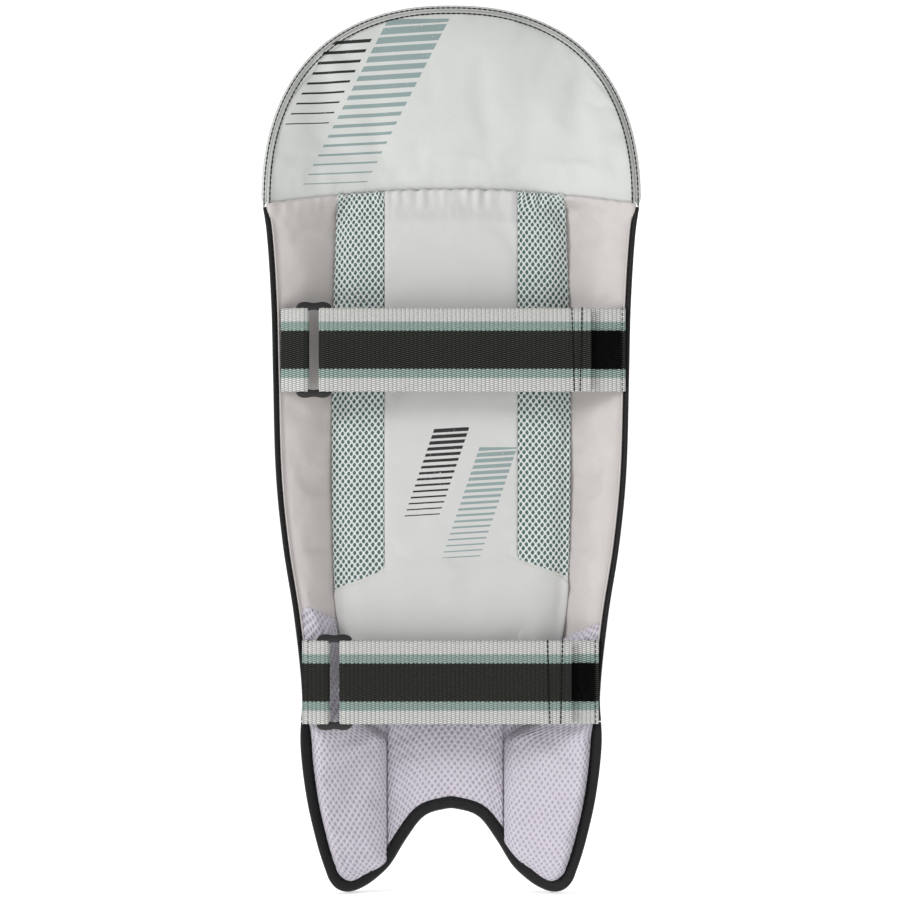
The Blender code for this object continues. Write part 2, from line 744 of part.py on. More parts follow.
def make_ring(name, lay):
    """A moulded frame: two bowed ends and the two bars between them."""
    slot = WEBBING_WIDTH / 2 + RING_SIDE_CLEARANCE
    tip = slot + RING_END
    wide = RING_WIDTH / 2
    bar_out = (BAR_SPACING + BAR) / 2
    bar_in = (BAR_SPACING - BAR) / 2
    quarter = [
        (bar_out, 0.0),
        (bar_out, slot - 0.0006),
        (wide - 0.0005, slot),
        (wide, slot + 0.0016),
        (wide - 0.0018, tip),
        (wide * 0.45, tip - 0.0003),
        (0.0, tip - 0.0011),
    ]
    half = quarter + [(-x, z) for x, z in reversed(quarter[:-1])]
    outer = half[1:-1] + [(-x, -z) for x, z in half[1:-1]]
    inner = [(bar_in, -slot), (bar_in, slot), (-bar_in, slot), (-bar_in, -slot)]
    curve = bpy.data.curves.new(name, "CURVE")
    curve.dimensions = "2D"
    curve.fill_mode = "BOTH"
    curve.extrude = BAR / 2
    for loop in (outer, inner):
        path = curve.splines.new("POLY")
        path.points.add(len(loop) - 1)
        path.use_cyclic_u = True
        for n, (x, z) in enumerate(loop):
            path.points[n].co = (x + BAR_SPACING / 2, z, 0, 1)
    curve.materials.append(material(name, BLACK_PLASTIC, 0.35))
    ring = bpy.data.objects.new(name, curve)
    ring.location = lay["left_pivot"]
    ring.rotation_euler = (math.pi / 2, 0, 0)
    weld = ring.modifiers.new("joined faces", "WELD")
    weld.merge_threshold = 0.0001
    soften = ring.modifiers.new("rounded edges", "BEVEL")
    soften.width = RING_EDGE_ROUNDING
    soften.segments = 1
    soften.limit_method = "ANGLE"
    soften.angle_limit = math.radians(50)
    PAD.objects.link(ring)
    return ring


def make_strap(name):
    lay = strap_layout(name)
    low, high = lay["low"], lay["high"]
    left, right, bar_y, loop = lay["left_bar"], lay["right_bar"], lay["bar_y"], lay["loop"]
    back = lay["tab_y"] - WEBBING - TAB_LAYER_GAP
    halfway = between(lay["tab_x"], left, 0.5)
    tab = [(lay["tab_x"], lay["tab_y"]), (halfway, between(lay["tab_y"], bar_y + loop, 0.5))]
    tab += arc(left, bar_y, loop, 90, -90, 8)
    tab += [(halfway, between(back, bar_y - loop, 0.5)), (lay["tab_x"] + LAYER_GAP, back)]
    strip(name + "_strap_tab", tab, low, high, WEBBING, WEBBING_COLOUR)
    make_ring(name + "_ring", lay)

    fold_end = right + FOLD_LENGTH
    spots = [between(fold_end + WEBBING_JOIN, lay["run_x"], n / 8) for n in range(9)]
    strip(name + "_strap_run", [(x, run_y(lay, x)) for x in spots], low, high, WEBBING, WEBBING_COLOUR)
    bend = right + FOLD_STRAIGHT
    fold = [(fold_end, run_y(lay, fold_end)), (bend, run_y(lay, bend))]
    fold += arc(right, bar_y, loop, 90, 270, 8)
    fold += [(bend, end_y(lay, bend)), (fold_end, end_y(lay, fold_end))]
    strip(name + "_strap_fold", fold, low, high, WEBBING, WEBBING_COLOUR)

    centre = lay["centre"]
    tape_low, tape_high = centre - FASTENER_WIDTH / 2, centre + FASTENER_WIDTH / 2
    offset = WEBBING / 2 + STRAP_GAP + LOOP_PILE / 2
    spots = [between(lay["pile_x"], lay["run_x"] - LOOP_END_GAP, n / 4) for n in range(5)]
    pile = [(x, run_y(lay, x) - offset) for x in spots]
    strip(name + "_loop_strip", pile, tape_low, tape_high, LOOP_PILE, BLACK_TAPE, 0.95)

    pivot = lay["right_pivot"]
    spots = [between(fold_end + WEBBING_JOIN, lay["end_x"], n / 8) for n in range(9)]
    free = [(x, end_y(lay, x)) for x in spots]
    strip(name + "_strap_end", free, low, high, WEBBING, WEBBING_COLOUR, 0.8, pivot)
    offset = WEBBING / 2 + STRAP_GAP + HOOK_TAPE / 2
    spots = (lay["end_x"] - HOOK_LENGTH, lay["end_x"] - HOOK_END_GAP)
    patch = [(x, end_y(lay, x) + offset) for x in spots]
    strip(name + "_hook_patch", patch, tape_low, tape_high, HOOK_TAPE, BLACK_TAPE, 0.9, pivot)


clear_scene()
PAD = make_collection()
make_shin()
make_wings()
make_bolster()
make_knee_rolls()
make_knee_flap()
make_ankle_rolls()
make_instep()
for strap_name in STRAPS:
    make_strap(strap_name)
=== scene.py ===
"""Looks of the cricket leg pad: padded cloth, printed leather, mesh rolls, straps, bindings and stitching.

Metres. +Z is up towards the knee and +Y the way the wearer faces. Heights are measured from the lobe tips
and turned into Z in at(). The leg side of the pad faces -Y.
"""

import json
import math

import bpy
import numpy as np
from mathutils import Vector
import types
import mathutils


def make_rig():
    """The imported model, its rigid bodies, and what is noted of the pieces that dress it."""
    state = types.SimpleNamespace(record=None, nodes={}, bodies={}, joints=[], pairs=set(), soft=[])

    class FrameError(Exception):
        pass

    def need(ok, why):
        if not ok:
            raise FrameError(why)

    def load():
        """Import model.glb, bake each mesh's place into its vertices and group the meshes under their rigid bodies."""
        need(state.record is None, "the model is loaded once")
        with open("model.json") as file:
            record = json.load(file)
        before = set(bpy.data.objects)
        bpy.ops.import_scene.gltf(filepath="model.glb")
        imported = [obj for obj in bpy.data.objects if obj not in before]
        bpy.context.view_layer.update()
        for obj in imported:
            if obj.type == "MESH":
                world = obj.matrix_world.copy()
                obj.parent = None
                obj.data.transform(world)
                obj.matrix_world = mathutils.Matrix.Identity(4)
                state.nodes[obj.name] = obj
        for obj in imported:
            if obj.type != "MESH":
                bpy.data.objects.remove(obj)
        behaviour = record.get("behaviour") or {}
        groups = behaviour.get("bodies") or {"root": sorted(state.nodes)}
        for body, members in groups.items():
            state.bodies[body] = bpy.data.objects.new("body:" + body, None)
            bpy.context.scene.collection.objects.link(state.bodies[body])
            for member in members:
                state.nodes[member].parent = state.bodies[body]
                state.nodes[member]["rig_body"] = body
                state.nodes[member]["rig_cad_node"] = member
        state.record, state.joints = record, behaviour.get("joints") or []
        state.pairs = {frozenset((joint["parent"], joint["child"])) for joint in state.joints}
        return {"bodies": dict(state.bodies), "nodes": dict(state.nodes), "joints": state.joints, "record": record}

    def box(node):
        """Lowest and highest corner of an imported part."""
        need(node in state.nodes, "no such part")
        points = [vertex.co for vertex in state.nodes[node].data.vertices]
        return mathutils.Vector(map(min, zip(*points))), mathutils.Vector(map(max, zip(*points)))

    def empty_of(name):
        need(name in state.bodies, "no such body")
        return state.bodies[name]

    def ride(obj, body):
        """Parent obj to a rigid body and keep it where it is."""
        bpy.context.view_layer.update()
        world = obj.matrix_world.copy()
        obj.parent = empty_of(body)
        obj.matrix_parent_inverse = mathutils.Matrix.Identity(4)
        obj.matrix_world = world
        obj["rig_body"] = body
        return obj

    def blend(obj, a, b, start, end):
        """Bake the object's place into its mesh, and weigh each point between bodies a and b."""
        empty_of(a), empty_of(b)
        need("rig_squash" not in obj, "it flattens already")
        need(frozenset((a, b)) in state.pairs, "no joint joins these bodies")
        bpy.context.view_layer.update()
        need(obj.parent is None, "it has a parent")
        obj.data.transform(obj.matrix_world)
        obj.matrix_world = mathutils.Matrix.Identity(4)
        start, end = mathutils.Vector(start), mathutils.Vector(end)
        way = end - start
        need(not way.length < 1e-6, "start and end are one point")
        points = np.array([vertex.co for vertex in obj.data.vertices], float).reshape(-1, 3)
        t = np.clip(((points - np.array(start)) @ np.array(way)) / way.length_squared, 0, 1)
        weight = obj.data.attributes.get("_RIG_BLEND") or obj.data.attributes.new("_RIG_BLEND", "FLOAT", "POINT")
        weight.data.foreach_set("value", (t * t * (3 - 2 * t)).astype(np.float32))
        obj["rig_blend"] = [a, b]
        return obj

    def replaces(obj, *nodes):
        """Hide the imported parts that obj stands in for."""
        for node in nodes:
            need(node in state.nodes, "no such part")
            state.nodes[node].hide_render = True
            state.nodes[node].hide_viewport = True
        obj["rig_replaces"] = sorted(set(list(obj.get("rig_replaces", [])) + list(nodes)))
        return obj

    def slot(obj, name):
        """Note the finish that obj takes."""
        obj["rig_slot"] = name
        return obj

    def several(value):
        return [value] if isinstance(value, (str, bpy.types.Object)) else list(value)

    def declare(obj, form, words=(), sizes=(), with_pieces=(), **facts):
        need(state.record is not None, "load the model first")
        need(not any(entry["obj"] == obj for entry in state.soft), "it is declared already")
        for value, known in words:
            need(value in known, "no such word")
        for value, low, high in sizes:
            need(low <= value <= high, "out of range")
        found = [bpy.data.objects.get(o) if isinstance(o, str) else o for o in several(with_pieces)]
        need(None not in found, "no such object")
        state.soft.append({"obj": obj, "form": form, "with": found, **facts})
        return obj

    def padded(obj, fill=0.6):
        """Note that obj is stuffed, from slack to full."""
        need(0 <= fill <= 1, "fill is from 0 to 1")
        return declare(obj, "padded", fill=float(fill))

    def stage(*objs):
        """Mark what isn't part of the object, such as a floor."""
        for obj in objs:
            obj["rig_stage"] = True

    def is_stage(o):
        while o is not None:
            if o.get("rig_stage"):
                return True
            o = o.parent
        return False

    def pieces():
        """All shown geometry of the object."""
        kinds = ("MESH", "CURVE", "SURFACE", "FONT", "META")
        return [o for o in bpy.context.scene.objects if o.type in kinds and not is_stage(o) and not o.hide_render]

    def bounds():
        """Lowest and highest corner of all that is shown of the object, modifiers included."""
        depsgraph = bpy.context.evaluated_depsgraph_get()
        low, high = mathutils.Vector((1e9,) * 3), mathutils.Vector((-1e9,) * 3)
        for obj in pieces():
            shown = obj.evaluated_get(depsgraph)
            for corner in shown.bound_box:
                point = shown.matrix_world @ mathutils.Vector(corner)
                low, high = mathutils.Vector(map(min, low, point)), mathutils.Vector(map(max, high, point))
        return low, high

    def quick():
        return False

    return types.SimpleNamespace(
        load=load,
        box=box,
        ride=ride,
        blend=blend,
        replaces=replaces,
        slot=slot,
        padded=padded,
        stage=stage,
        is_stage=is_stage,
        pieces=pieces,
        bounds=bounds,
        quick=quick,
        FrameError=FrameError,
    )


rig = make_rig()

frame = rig.load()
cad_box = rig.bounds()

# Sizes shared with the pad's solids, in metres
PAD_HEIGHT = 0.580
PAD_WIDTH = 0.246
HALF = PAD_WIDTH / 2
KNEE_FLAP_HEIGHT = 0.1225
INSTEP_SEAM = 0.1134
WING_SWEEP = 0.042
LEG_MOUNT_HEIGHT = 0.2920
FLAP_SEAM_HEIGHT = PAD_HEIGHT - KNEE_FLAP_HEIGHT
FLAP_SEAM_DROP = 0.0110
CORNER_HEIGHT = FLAP_SEAM_HEIGHT - 0.0035
BOLSTER_FOOT = INSTEP_SEAM + 0.0090
TOE_HEIGHT = 0.0116
# Half the pad's width, as a share of HALF, at shares of CORNER_HEIGHT
OUTLINE = (
    (0.000, 0.618),
    (0.038, 0.672),
    (0.073, 0.711),
    (0.140, 0.764),
    (0.220, 0.795),
    (0.286, 0.785),
    (0.396, 0.825),
    (0.502, 0.885),
    (0.605, 0.922),
    (0.748, 0.937),
    (0.846, 0.946),
    (0.946, 0.970),
    (1.000, 1.000),
)
# Height of the instep's edge, as a share of INSTEP_SEAM, at shares of the toe's half width
BOTTOM_EDGE = (
    (0.000, 0.481),
    (0.220, 0.432),
    (0.372, 0.291),
    (0.488, 0.155),
    (0.582, 0.086),
    (0.700, 0.027),
    (0.830, 0.000),
    (0.934, 0.027),
    (1.000, 0.090),
)
# Half the bolster's width, as a share of HALF, at shares of CORNER_HEIGHT
BOLSTER_OUTLINE = (
    (0.264, 0.505),
    (0.364, 0.590),
    (0.447, 0.628),
    (0.639, 0.642),
    (0.843, 0.634),
    (1.009, 0.614),
)
CENTRE_PANEL = 0.0430
DOME_ROUNDNESS = 2.3
LINING = 0.0012
COVER = 0.0012
LAYER_GAP = 0.0005
SEAM_GAP = 0.0012
SOFT_GAP = 0.0008
MESH_PAD_GAP = 0.0014
INSTEP_FOAM = 0.0080
SHEET_Y = 0.0235
CANES = 7
RIB_PITCH = 0.0130
RIB_RISE = 0.0094
SHIN_HALF = CANES * RIB_PITCH / 2
KNEE_ROLLS = 3
KNEE_ROLL_HEIGHT = 0.0316
KNEE_ROLLS_TOP = FLAP_SEAM_HEIGHT - 0.0085
KNEE_ROLLS_REACH = HALF - 0.0369
SHIN_FACE_TOP = KNEE_ROLLS_TOP - KNEE_ROLLS * KNEE_ROLL_HEIGHT - 0.0015
BINDING_WIDTH = 0.0065
INSTEP_BINDING_WIDTH = 0.0080
BINDING_WALL = 0.0012
TAPE_SHOWS = 0.0040
PIPING = 0.0046
WEBBING = 0.0015
WEBBING_HALF = 0.0270
BAR = 0.0030
BAR_SPACING = 0.0140
RING_HALF = 0.0114
RING_END = 0.0036
LOOP = BAR * math.sqrt(0.5) + 0.0003 + WEBBING / 2
STACK = 0.0048
FOLD_LENGTH = 0.0100
CENTRE_PAD_SIDES = {"left": 0.0420, "right": 0.0345}
ANKLE_ROLL_TOPS = {"left": 0.1868, "right": 0.1740}

# Sizes of the sewn pieces only
UNDER_STRAP_Y = -0.0138
BOLSTER_SPREAD = 0.985
FLAP_BEND = 0.0450
PILE_HALF = 0.0119
THREAD_LIFT = 0.0002

# Patterns of the cloths: (across, along) pitches of the knitted holes, their edges, and the webbing's bands
LATTICE = (0.00405, 0.0052)
AIR_MESH = (0.0042, 0.0058)
LATTICE_EDGE = 0.25
AIR_MESH_EDGE = -0.15
WEAVE_RIB = 0.00272
WEAVE_PICK = 0.0013
BLACK_BAND = 0.01235
TEAL_BAND = 0.0182

scene = bpy.context.scene


def spline(points, where):
    """The value at where of a smooth curve through (where, value) pairs, level outside them."""
    knots, values = np.array(points).T
    where = np.clip(where, knots[0], knots[-1])
    k = np.clip(np.searchsorted(knots, where, side="right") - 1, 0, len(knots) - 2)
    wide_values = np.concatenate([values[:1], values, values[-1:]])
    wide_knots = np.concatenate([knots[:1], knots, knots[-1:]])
    slope = (wide_values[2:] - wide_values[:-2]) / (wide_knots[2:] - wide_knots[:-2])
    span = knots[k + 1] - knots[k]
    t = (where - knots[k]) / span
    rise = (2 * t**3 - 3 * t**2 + 1) * values[k] + (3 * t**2 - 2 * t**3) * values[k + 1]
    return rise + span * ((t**3 - 2 * t**2 + t) * slope[k] + (t**3 - t**2) * slope[k + 1])


def between(low, high, share):
    return low + (high - low) * share


def ramp(value, start, end):
    """0 at start, 1 at end, eased at both."""
    t = np.clip((value - start) / (end - start), 0, 1)
    return t * t * (3 - 2 * t)


def half_width(height):
    return HALF * spline(OUTLINE, height / CORNER_HEIGHT)


def bolster_half_width(height):
    return HALF * spline(BOLSTER_OUTLINE, height / CORNER_HEIGHT)


def flap_seam(x):
    return FLAP_SEAM_HEIGHT - FLAP_SEAM_DROP * (x / HALF) ** 2


def outward(x, height):
    """0 where the pad is flat, 1 at its side edge."""
    edge = half_width(np.minimum(height, CORNER_HEIGHT))
    return np.maximum(0, (abs(x) - SHIN_HALF) / (edge - SHIN_HALF))


def sheet_y(x, height):
    """Y of the back sheet, which every layer is measured from."""
    sweep = 1 - 0.12 * ramp(height, between(INSTEP_SEAM, CORNER_HEIGHT, 0.43), INSTEP_SEAM)
    sweep = sweep * (1 - 0.50 * ramp(height, CORNER_HEIGHT, PAD_HEIGHT))
    sweep = sweep * (1 - 0.40 * ramp(height, INSTEP_SEAM, 0)) * WING_SWEEP
    flare = 0.012 * ramp(height, INSTEP_SEAM, -INSTEP_SEAM)
    return SHEET_Y - sweep * outward(x, height) ** 1.5 + flare


def foam_front(x, height):
    depth = between(0.012, 0.004, np.minimum(1, outward(x, height)))
    return sheet_y(x, height) + LAYER_GAP + depth


def bolster_y(x, height):
    half = bolster_half_width(height)
    side = 0.0085 * np.maximum(0, (abs(x) - 0.72 * half) / (0.28 * half)) ** 2
    foot = 0.0080 * ramp(height, BOLSTER_FOOT + 0.052, BOLSTER_FOOT) ** 1.5
    seam = 0.0065 * ramp(height, flap_seam(x) - 0.022, flap_seam(x))
    return np.minimum(side + foot + seam, sheet_y(x, height) - 0.0053)


def bottom_edge(x):
    return INSTEP_SEAM * spline(BOTTOM_EDGE, abs(x) / half_width(TOE_HEIGHT))


def inset_bottom(x, inset):
    """Height of a line that stays this far inside the bottom edge."""
    best = 0 * x
    for n in range(-12, 13):
        step = inset * n / 12
        best = np.maximum(best, bottom_edge(x + step) + np.sqrt(np.maximum(0, inset**2 - step**2)))
    return best


def gathers(along, below, reach, pitch=0.0062):
    """How far cloth stands out in the folds that hang below a gathered seam, from 0 to 1."""
    wander = 1.1 * np.sin(along * 190 + 1.3) + 0.7 * np.sin(along * 431 + 0.4)
    folds = 0.5 + 0.5 * np.sin(2 * math.pi * along / pitch + wander)
    long_folds = 0.6 + 0.4 * np.sin(along * 320 + 2.0)
    return folds**1.5 * np.exp(-np.maximum(0, below) / (reach * long_folds))


def at(x, y, height):
    return np.stack(np.broadcast_arrays(x, y, height - LEG_MOUNT_HEIGHT), -1)


# Finishes


def put(tree, socket, value):
    if isinstance(value, bpy.types.NodeSocket):
        tree.links.new(value, socket)
    else:
        socket.default_value = value


def node(tree, kind, inputs=(), **settings):
    made = tree.nodes.new(kind)
    for name, value in settings.items():
        setattr(made, name, value)
    for name, value in dict(inputs).items():
        put(tree, made.inputs[name], value)
    return made


def math_node(tree, operation, *values):
    made = tree.nodes.new("ShaderNodeMath")
    made.operation = operation
    for n, value in enumerate(values):
        put(tree, made.inputs[n], value)
    return made.outputs[0]


def smooth_step(tree, value, low, high):
    """0 below low, 1 above high. low may be the greater one."""
    made = node(tree, "ShaderNodeMapRange", {"Value": value, "From Min": low, "From Max": high})
    made.interpolation_type = "SMOOTHSTEP"
    return made.outputs["Result"]


def mix_colour(tree, share, low, high):
    made = tree.nodes.new("ShaderNodeMix")
    made.data_type = "RGBA"
    put(tree, made.inputs["Factor"], share)
    for socket, value in (("A", low), ("B", high)):
        colours = [item for item in made.inputs if item.name == socket and item.type == "RGBA"]
        put(tree, colours[0], value)
    return next(item for item in made.outputs if item.type == "RGBA")


def paint(red, green, blue):
    """A colour given as display values from 0 to 255."""
    shades = []
    for value in (red, green, blue):
        share = value / 255
        shades.append(share / 12.92 if share <= 0.04045 else ((share + 0.055) / 1.055) ** 2.4)
    return (*shades, 1)


def noise(tree, where, scale, detail=3.0):
    made = node(tree, "ShaderNodeTexNoise", {"Scale": scale, "Detail": detail})
    tree.links.new(where, made.inputs["Vector"])
    return made.outputs["Factor"] if "Factor" in made.outputs else made.outputs["Fac"]


def start_finish(name, roughness, sheen=0.0, coat=0.0):
    made = bpy.data.materials.new(name)
    made.use_nodes = True
    tree = made.node_tree
    shader = tree.nodes["Principled BSDF"]
    shader.inputs["Roughness"].default_value = roughness
    shader.inputs["Sheen Weight"].default_value = sheen
    shader.inputs["Sheen Roughness"].default_value = 0.4
    shader.inputs["Coat Weight"].default_value = coat
    shader.inputs["Coat Roughness"].default_value = 0.35
    where = node(tree, "ShaderNodeTexCoord").outputs["Object"]
    return made, tree, shader, where


def bump(tree, shader, height, distance, strength=1.0, under=None):
    settings = {"Strength": strength, "Distance": distance, "Height": height}
    made = node(tree, "ShaderNodeBump", settings)
    if under is not None:
        tree.links.new(under, made.inputs["Normal"])
    tree.links.new(made.outputs["Normal"], shader.inputs["Normal"])
    return made.outputs["Normal"]


def vary_roughness(tree, shader, share, low, high):
    made = node(tree, "ShaderNodeMapRange", {"Value": share, "To Min": low, "To Max": high})
    tree.links.new(made.outputs["Result"], shader.inputs["Roughness"])


def slanted_stripes(tree, where, left, lean, width, span, pitch, thick):
    """A leaning block of level printed bars, which get thinner towards its foot.

    left is X of its left side at the foot, span its lowest and highest Z, and thick the bars' shares of the
    pitch at those heights.
    """
    spot = node(tree, "ShaderNodeSeparateXYZ", {"Vector": where})
    x, z = spot.outputs["X"], spot.outputs["Z"]
    low, high = span
    rise = math_node(tree, "SUBTRACT", z, low)
    tilted = math_node(tree, "MULTIPLY_ADD", x, -0.06, rise)
    bar = math_node(tree, "FRACT", math_node(tree, "DIVIDE", tilted, pitch))
    share = node(
        tree,
        "ShaderNodeMapRange",
        {"Value": z, "From Min": low, "From Max": high, "To Min": thick[0], "To Max": thick[1]},
    ).outputs["Result"]
    inked = math_node(tree, "LESS_THAN", bar, share)
    side = math_node(tree, "SUBTRACT", math_node(tree, "MULTIPLY_ADD", rise, -lean, x), left)
    inside = math_node(tree, "MULTIPLY", math_node(tree, "GREATER_THAN", side, 0.0), inked)
    inside = math_node(tree, "MULTIPLY", inside, math_node(tree, "LESS_THAN", side, width))
    inside = math_node(tree, "MULTIPLY", inside, math_node(tree, "GREATER_THAN", rise, 0.0))
    return math_node(tree, "MULTIPLY", inside, math_node(tree, "LESS_THAN", rise, high - low))


def leather(name, prints=(), colour=(212, 214, 211)):
    """White coated leathercloth with a fine pebbled grain. prints are (bars, ink) pairs."""
    made, tree, shader, where = start_finish(name, 0.55)
    shader.inputs["Specular IOR Level"].default_value = 0.35
    pebbles = node(tree, "ShaderNodeTexVoronoi", {"Scale": 950.0}, feature="SMOOTH_F1")
    tree.links.new(where, pebbles.inputs["Vector"])
    soft = noise(tree, where, 42.0)
    shade = mix_colour(tree, soft, paint(*[value - 9 for value in colour]), paint(*colour))
    for bars, ink in prints:
        kept = smooth_step(tree, noise(tree, where, 700.0), 0.22, 0.34)
        cover = math_node(tree, "MULTIPLY", slanted_stripes(tree, where, **bars), kept)
        shade = mix_colour(tree, cover, shade, paint(*ink))
    tree.links.new(shade, shader.inputs["Base Color"])
    vary_roughness(tree, shader, noise(tree, where, 260.0), 0.48, 0.66)
    creases = bump(tree, shader, noise(tree, where, 120.0, 5.0), 0.0006, 0.25)
    bump(tree, shader, pebbles.outputs["Distance"], 0.00012, 0.5, creases)
    return made


def satin_lining():
    """Warm white woven lining with a slight shine."""
    made, tree, shader, where = start_finish("satin_lining", 0.45, sheen=0.35)
    spot = node(tree, "ShaderNodeSeparateXYZ", {"Vector": where})
    twill = math_node(tree, "MULTIPLY_ADD", spot.outputs["X"], 0.6, spot.outputs["Z"])
    threads = math_node(tree, "SINE", math_node(tree, "MULTIPLY", twill, 2 * math.pi / 0.00055))
    soft = noise(tree, where, 55.0)
    shade = mix_colour(tree, soft, paint(194, 188, 186), paint(208, 202, 199))
    tree.links.new(shade, shader.inputs["Base Color"])
    vary_roughness(tree, shader, noise(tree, where, 480.0), 0.38, 0.55)
    creases = bump(tree, shader, noise(tree, where, 95.0, 4.0), 0.0012, 0.35)
    bump(tree, shader, threads, 0.00006, 0.35, creases)
    return made


def cloth_spot(tree):
    """Distances across and along a piece's own cloth, in metres."""
    cloth = node(tree, "ShaderNodeUVMap", uv_map="cloth")
    spot = node(tree, "ShaderNodeSeparateXYZ", {"Vector": cloth.outputs["UV"]})
    return cloth.outputs["UV"], spot.outputs["X"], spot.outputs["Y"]


def holes_of(tree, across, along, pitch):
    """-1 in the middle of each hole of a knitted mesh, 1 on its slanting threads."""
    wide = math_node(tree, "COSINE", math_node(tree, "MULTIPLY", across, 2 * math.pi / pitch[0]))
    tall = math_node(tree, "COSINE", math_node(tree, "MULTIPLY", along, 2 * math.pi / pitch[1]))
    return math_node(tree, "SUBTRACT", 1.0, math_node(tree, "ABSOLUTE", math_node(tree, "ADD", wide, tall)))


def knitted_mesh(name, pitch, thread, hole, edge, sheen=0.2):
    """Knitted mesh cloth, whose lozenge holes take the hole colour, which shows the layer under the lattice mesh and
    is painted shade in the air mesh's dimples.
    """
    made, tree, shader, _ = start_finish(name, 0.7, sheen=sheen)
    cloth, across, along = cloth_spot(tree)
    lattice = holes_of(tree, across, along, pitch)
    ragged = math_node(tree, "MULTIPLY_ADD", noise(tree, cloth, 1900.0), 0.22, lattice)
    opened = smooth_step(tree, ragged, edge + 0.10, edge - 0.10)
    strands = math_node(tree, "SINE", math_node(tree, "MULTIPLY", along, 2 * math.pi / 0.0007))
    soft = noise(tree, cloth, 60.0)
    base = mix_colour(tree, soft, paint(*[value - 8 for value in thread]), paint(*thread))
    # On the air mesh the hole colour is painted shade in its dimples
    shade = mix_colour(tree, opened, base, paint(*hole))
    tree.links.new(shade, shader.inputs["Base Color"])
    vary_roughness(tree, shader, opened, 0.62, 0.85)
    knit = bump(tree, shader, strands, 0.00008, 0.4)
    bump(tree, shader, lattice, 0.0004, 0.6, knit)
    return made


def woven_webbing():
    """Ribbed webbing with a black middle, teal lines and off-white borders, with painted highlights on its knots and
    painted shade in its rib valleys.
    """
    made, tree, shader, _ = start_finish("striped_webbing", 0.8)
    shader.inputs["Specular IOR Level"].default_value = 0.12
    cloth, along, across = cloth_spot(tree)
    rib = math_node(tree, "MULTIPLY", along, 2 * math.pi / WEAVE_RIB)
    weave = math_node(tree, "MULTIPLY", math_node(tree, "COSINE", rib), 0.00026)
    edge = math_node(tree, "ADD", math_node(tree, "ABSOLUTE", across), weave)
    picks = math_node(tree, "SINE", math_node(tree, "MULTIPLY", across, 2 * math.pi / WEAVE_PICK))
    turned = math_node(tree, "COSINE", math_node(tree, "MULTIPLY", rib, 0.5))
    knots = math_node(tree, "MULTIPLY", picks, turned)
    fibres = noise(tree, cloth, 1500.0)
    # Painted highlight: in every band the tips of the woven knots are painted lighter than the weave around them
    tips = smooth_step(tree, math_node(tree, "MULTIPLY_ADD", fibres, 0.5, knots), -0.35, 1.0)
    white = mix_colour(tree, tips, paint(176, 176, 172), paint(248, 248, 246))
    teal = mix_colour(tree, tips, paint(96, 120, 113), paint(194, 212, 206))
    black = mix_colour(tree, tips, paint(0, 0, 0), paint(72, 74, 68))
    past_black = smooth_step(tree, edge, BLACK_BAND - 0.0002, BLACK_BAND + 0.0002)
    past_teal = smooth_step(tree, edge, TEAL_BAND - 0.0002, TEAL_BAND + 0.0002)
    shade = mix_colour(tree, past_black, black, teal)
    shade = mix_colour(tree, past_teal, shade, white)
    # Painted shade: the rib valleys are darkened towards (20, 22, 21)
    valley_shade = smooth_step(tree, math_node(tree, "COSINE", rib), -0.2, -1.0)
    valley_shade_share = math_node(tree, "MULTIPLY", valley_shade, 0.42)
    shade = mix_colour(tree, valley_shade_share, shade, paint(20, 22, 21))
    tree.links.new(shade, shader.inputs["Base Color"])
    vary_roughness(tree, shader, fibres, 0.68, 0.92)
    weave_bump = bump(tree, shader, knots, 0.00030, 1.0)
    bump(tree, shader, fibres, 0.00012, 0.4, weave_bump)
    return made


def black_tape():
    """Black ribbed binding tape."""
    made, tree, shader, _ = start_finish("black_binding_tape", 0.6)
    shader.inputs["Specular IOR Level"].default_value = 0.3
    cloth, along, _ = cloth_spot(tree)
    ribs = math_node(tree, "SINE", math_node(tree, "MULTIPLY", along, 2 * math.pi / 0.0009))
    shade = mix_colour(tree, noise(tree, cloth, 700.0), paint(8, 8, 9), paint(30, 30, 32))
    tree.links.new(shade, shader.inputs["Base Color"])
    vary_roughness(tree, shader, noise(tree, cloth, 300.0), 0.5, 0.75)
    bump(tree, shader, ribs, 0.00010, 0.6)
    return made


def plain_finish(name, dark, light, roughness, scale, depth, shine=0.5, coat=0.0):
    """A plain finish whose colour, gloss and surface all vary a little."""
    made, tree, shader, where = start_finish(name, roughness, coat=coat)
    shader.inputs["Specular IOR Level"].default_value = shine
    grain = noise(tree, where, scale, 4.0)
    shade = mix_colour(tree, grain, paint(*dark), paint(*light))
    tree.links.new(shade, shader.inputs["Base Color"])
    vary_roughness(tree, shader, grain, roughness - 0.08, roughness + 0.08)
    bump(tree, shader, grain, depth, 0.6)
    return made


def cane_finish():
    """Split cane with long fibres and darker streaks."""
    made, tree, shader, where = start_finish("split_cane", 0.5, coat=0.2)
    stretch = node(tree, "ShaderNodeMapping", {"Scale": (900.0, 900.0, 22.0)})
    tree.links.new(where, stretch.inputs["Vector"])
    fibres = noise(tree, stretch.outputs["Vector"], 1.0, 4.0)
    shade = mix_colour(tree, fibres, paint(150, 116, 66), paint(214, 184, 128))
    tree.links.new(shade, shader.inputs["Base Color"])
    vary_roughness(tree, shader, fibres, 0.4, 0.62)
    bump(tree, shader, fibres, 0.0002, 0.5)
    return made


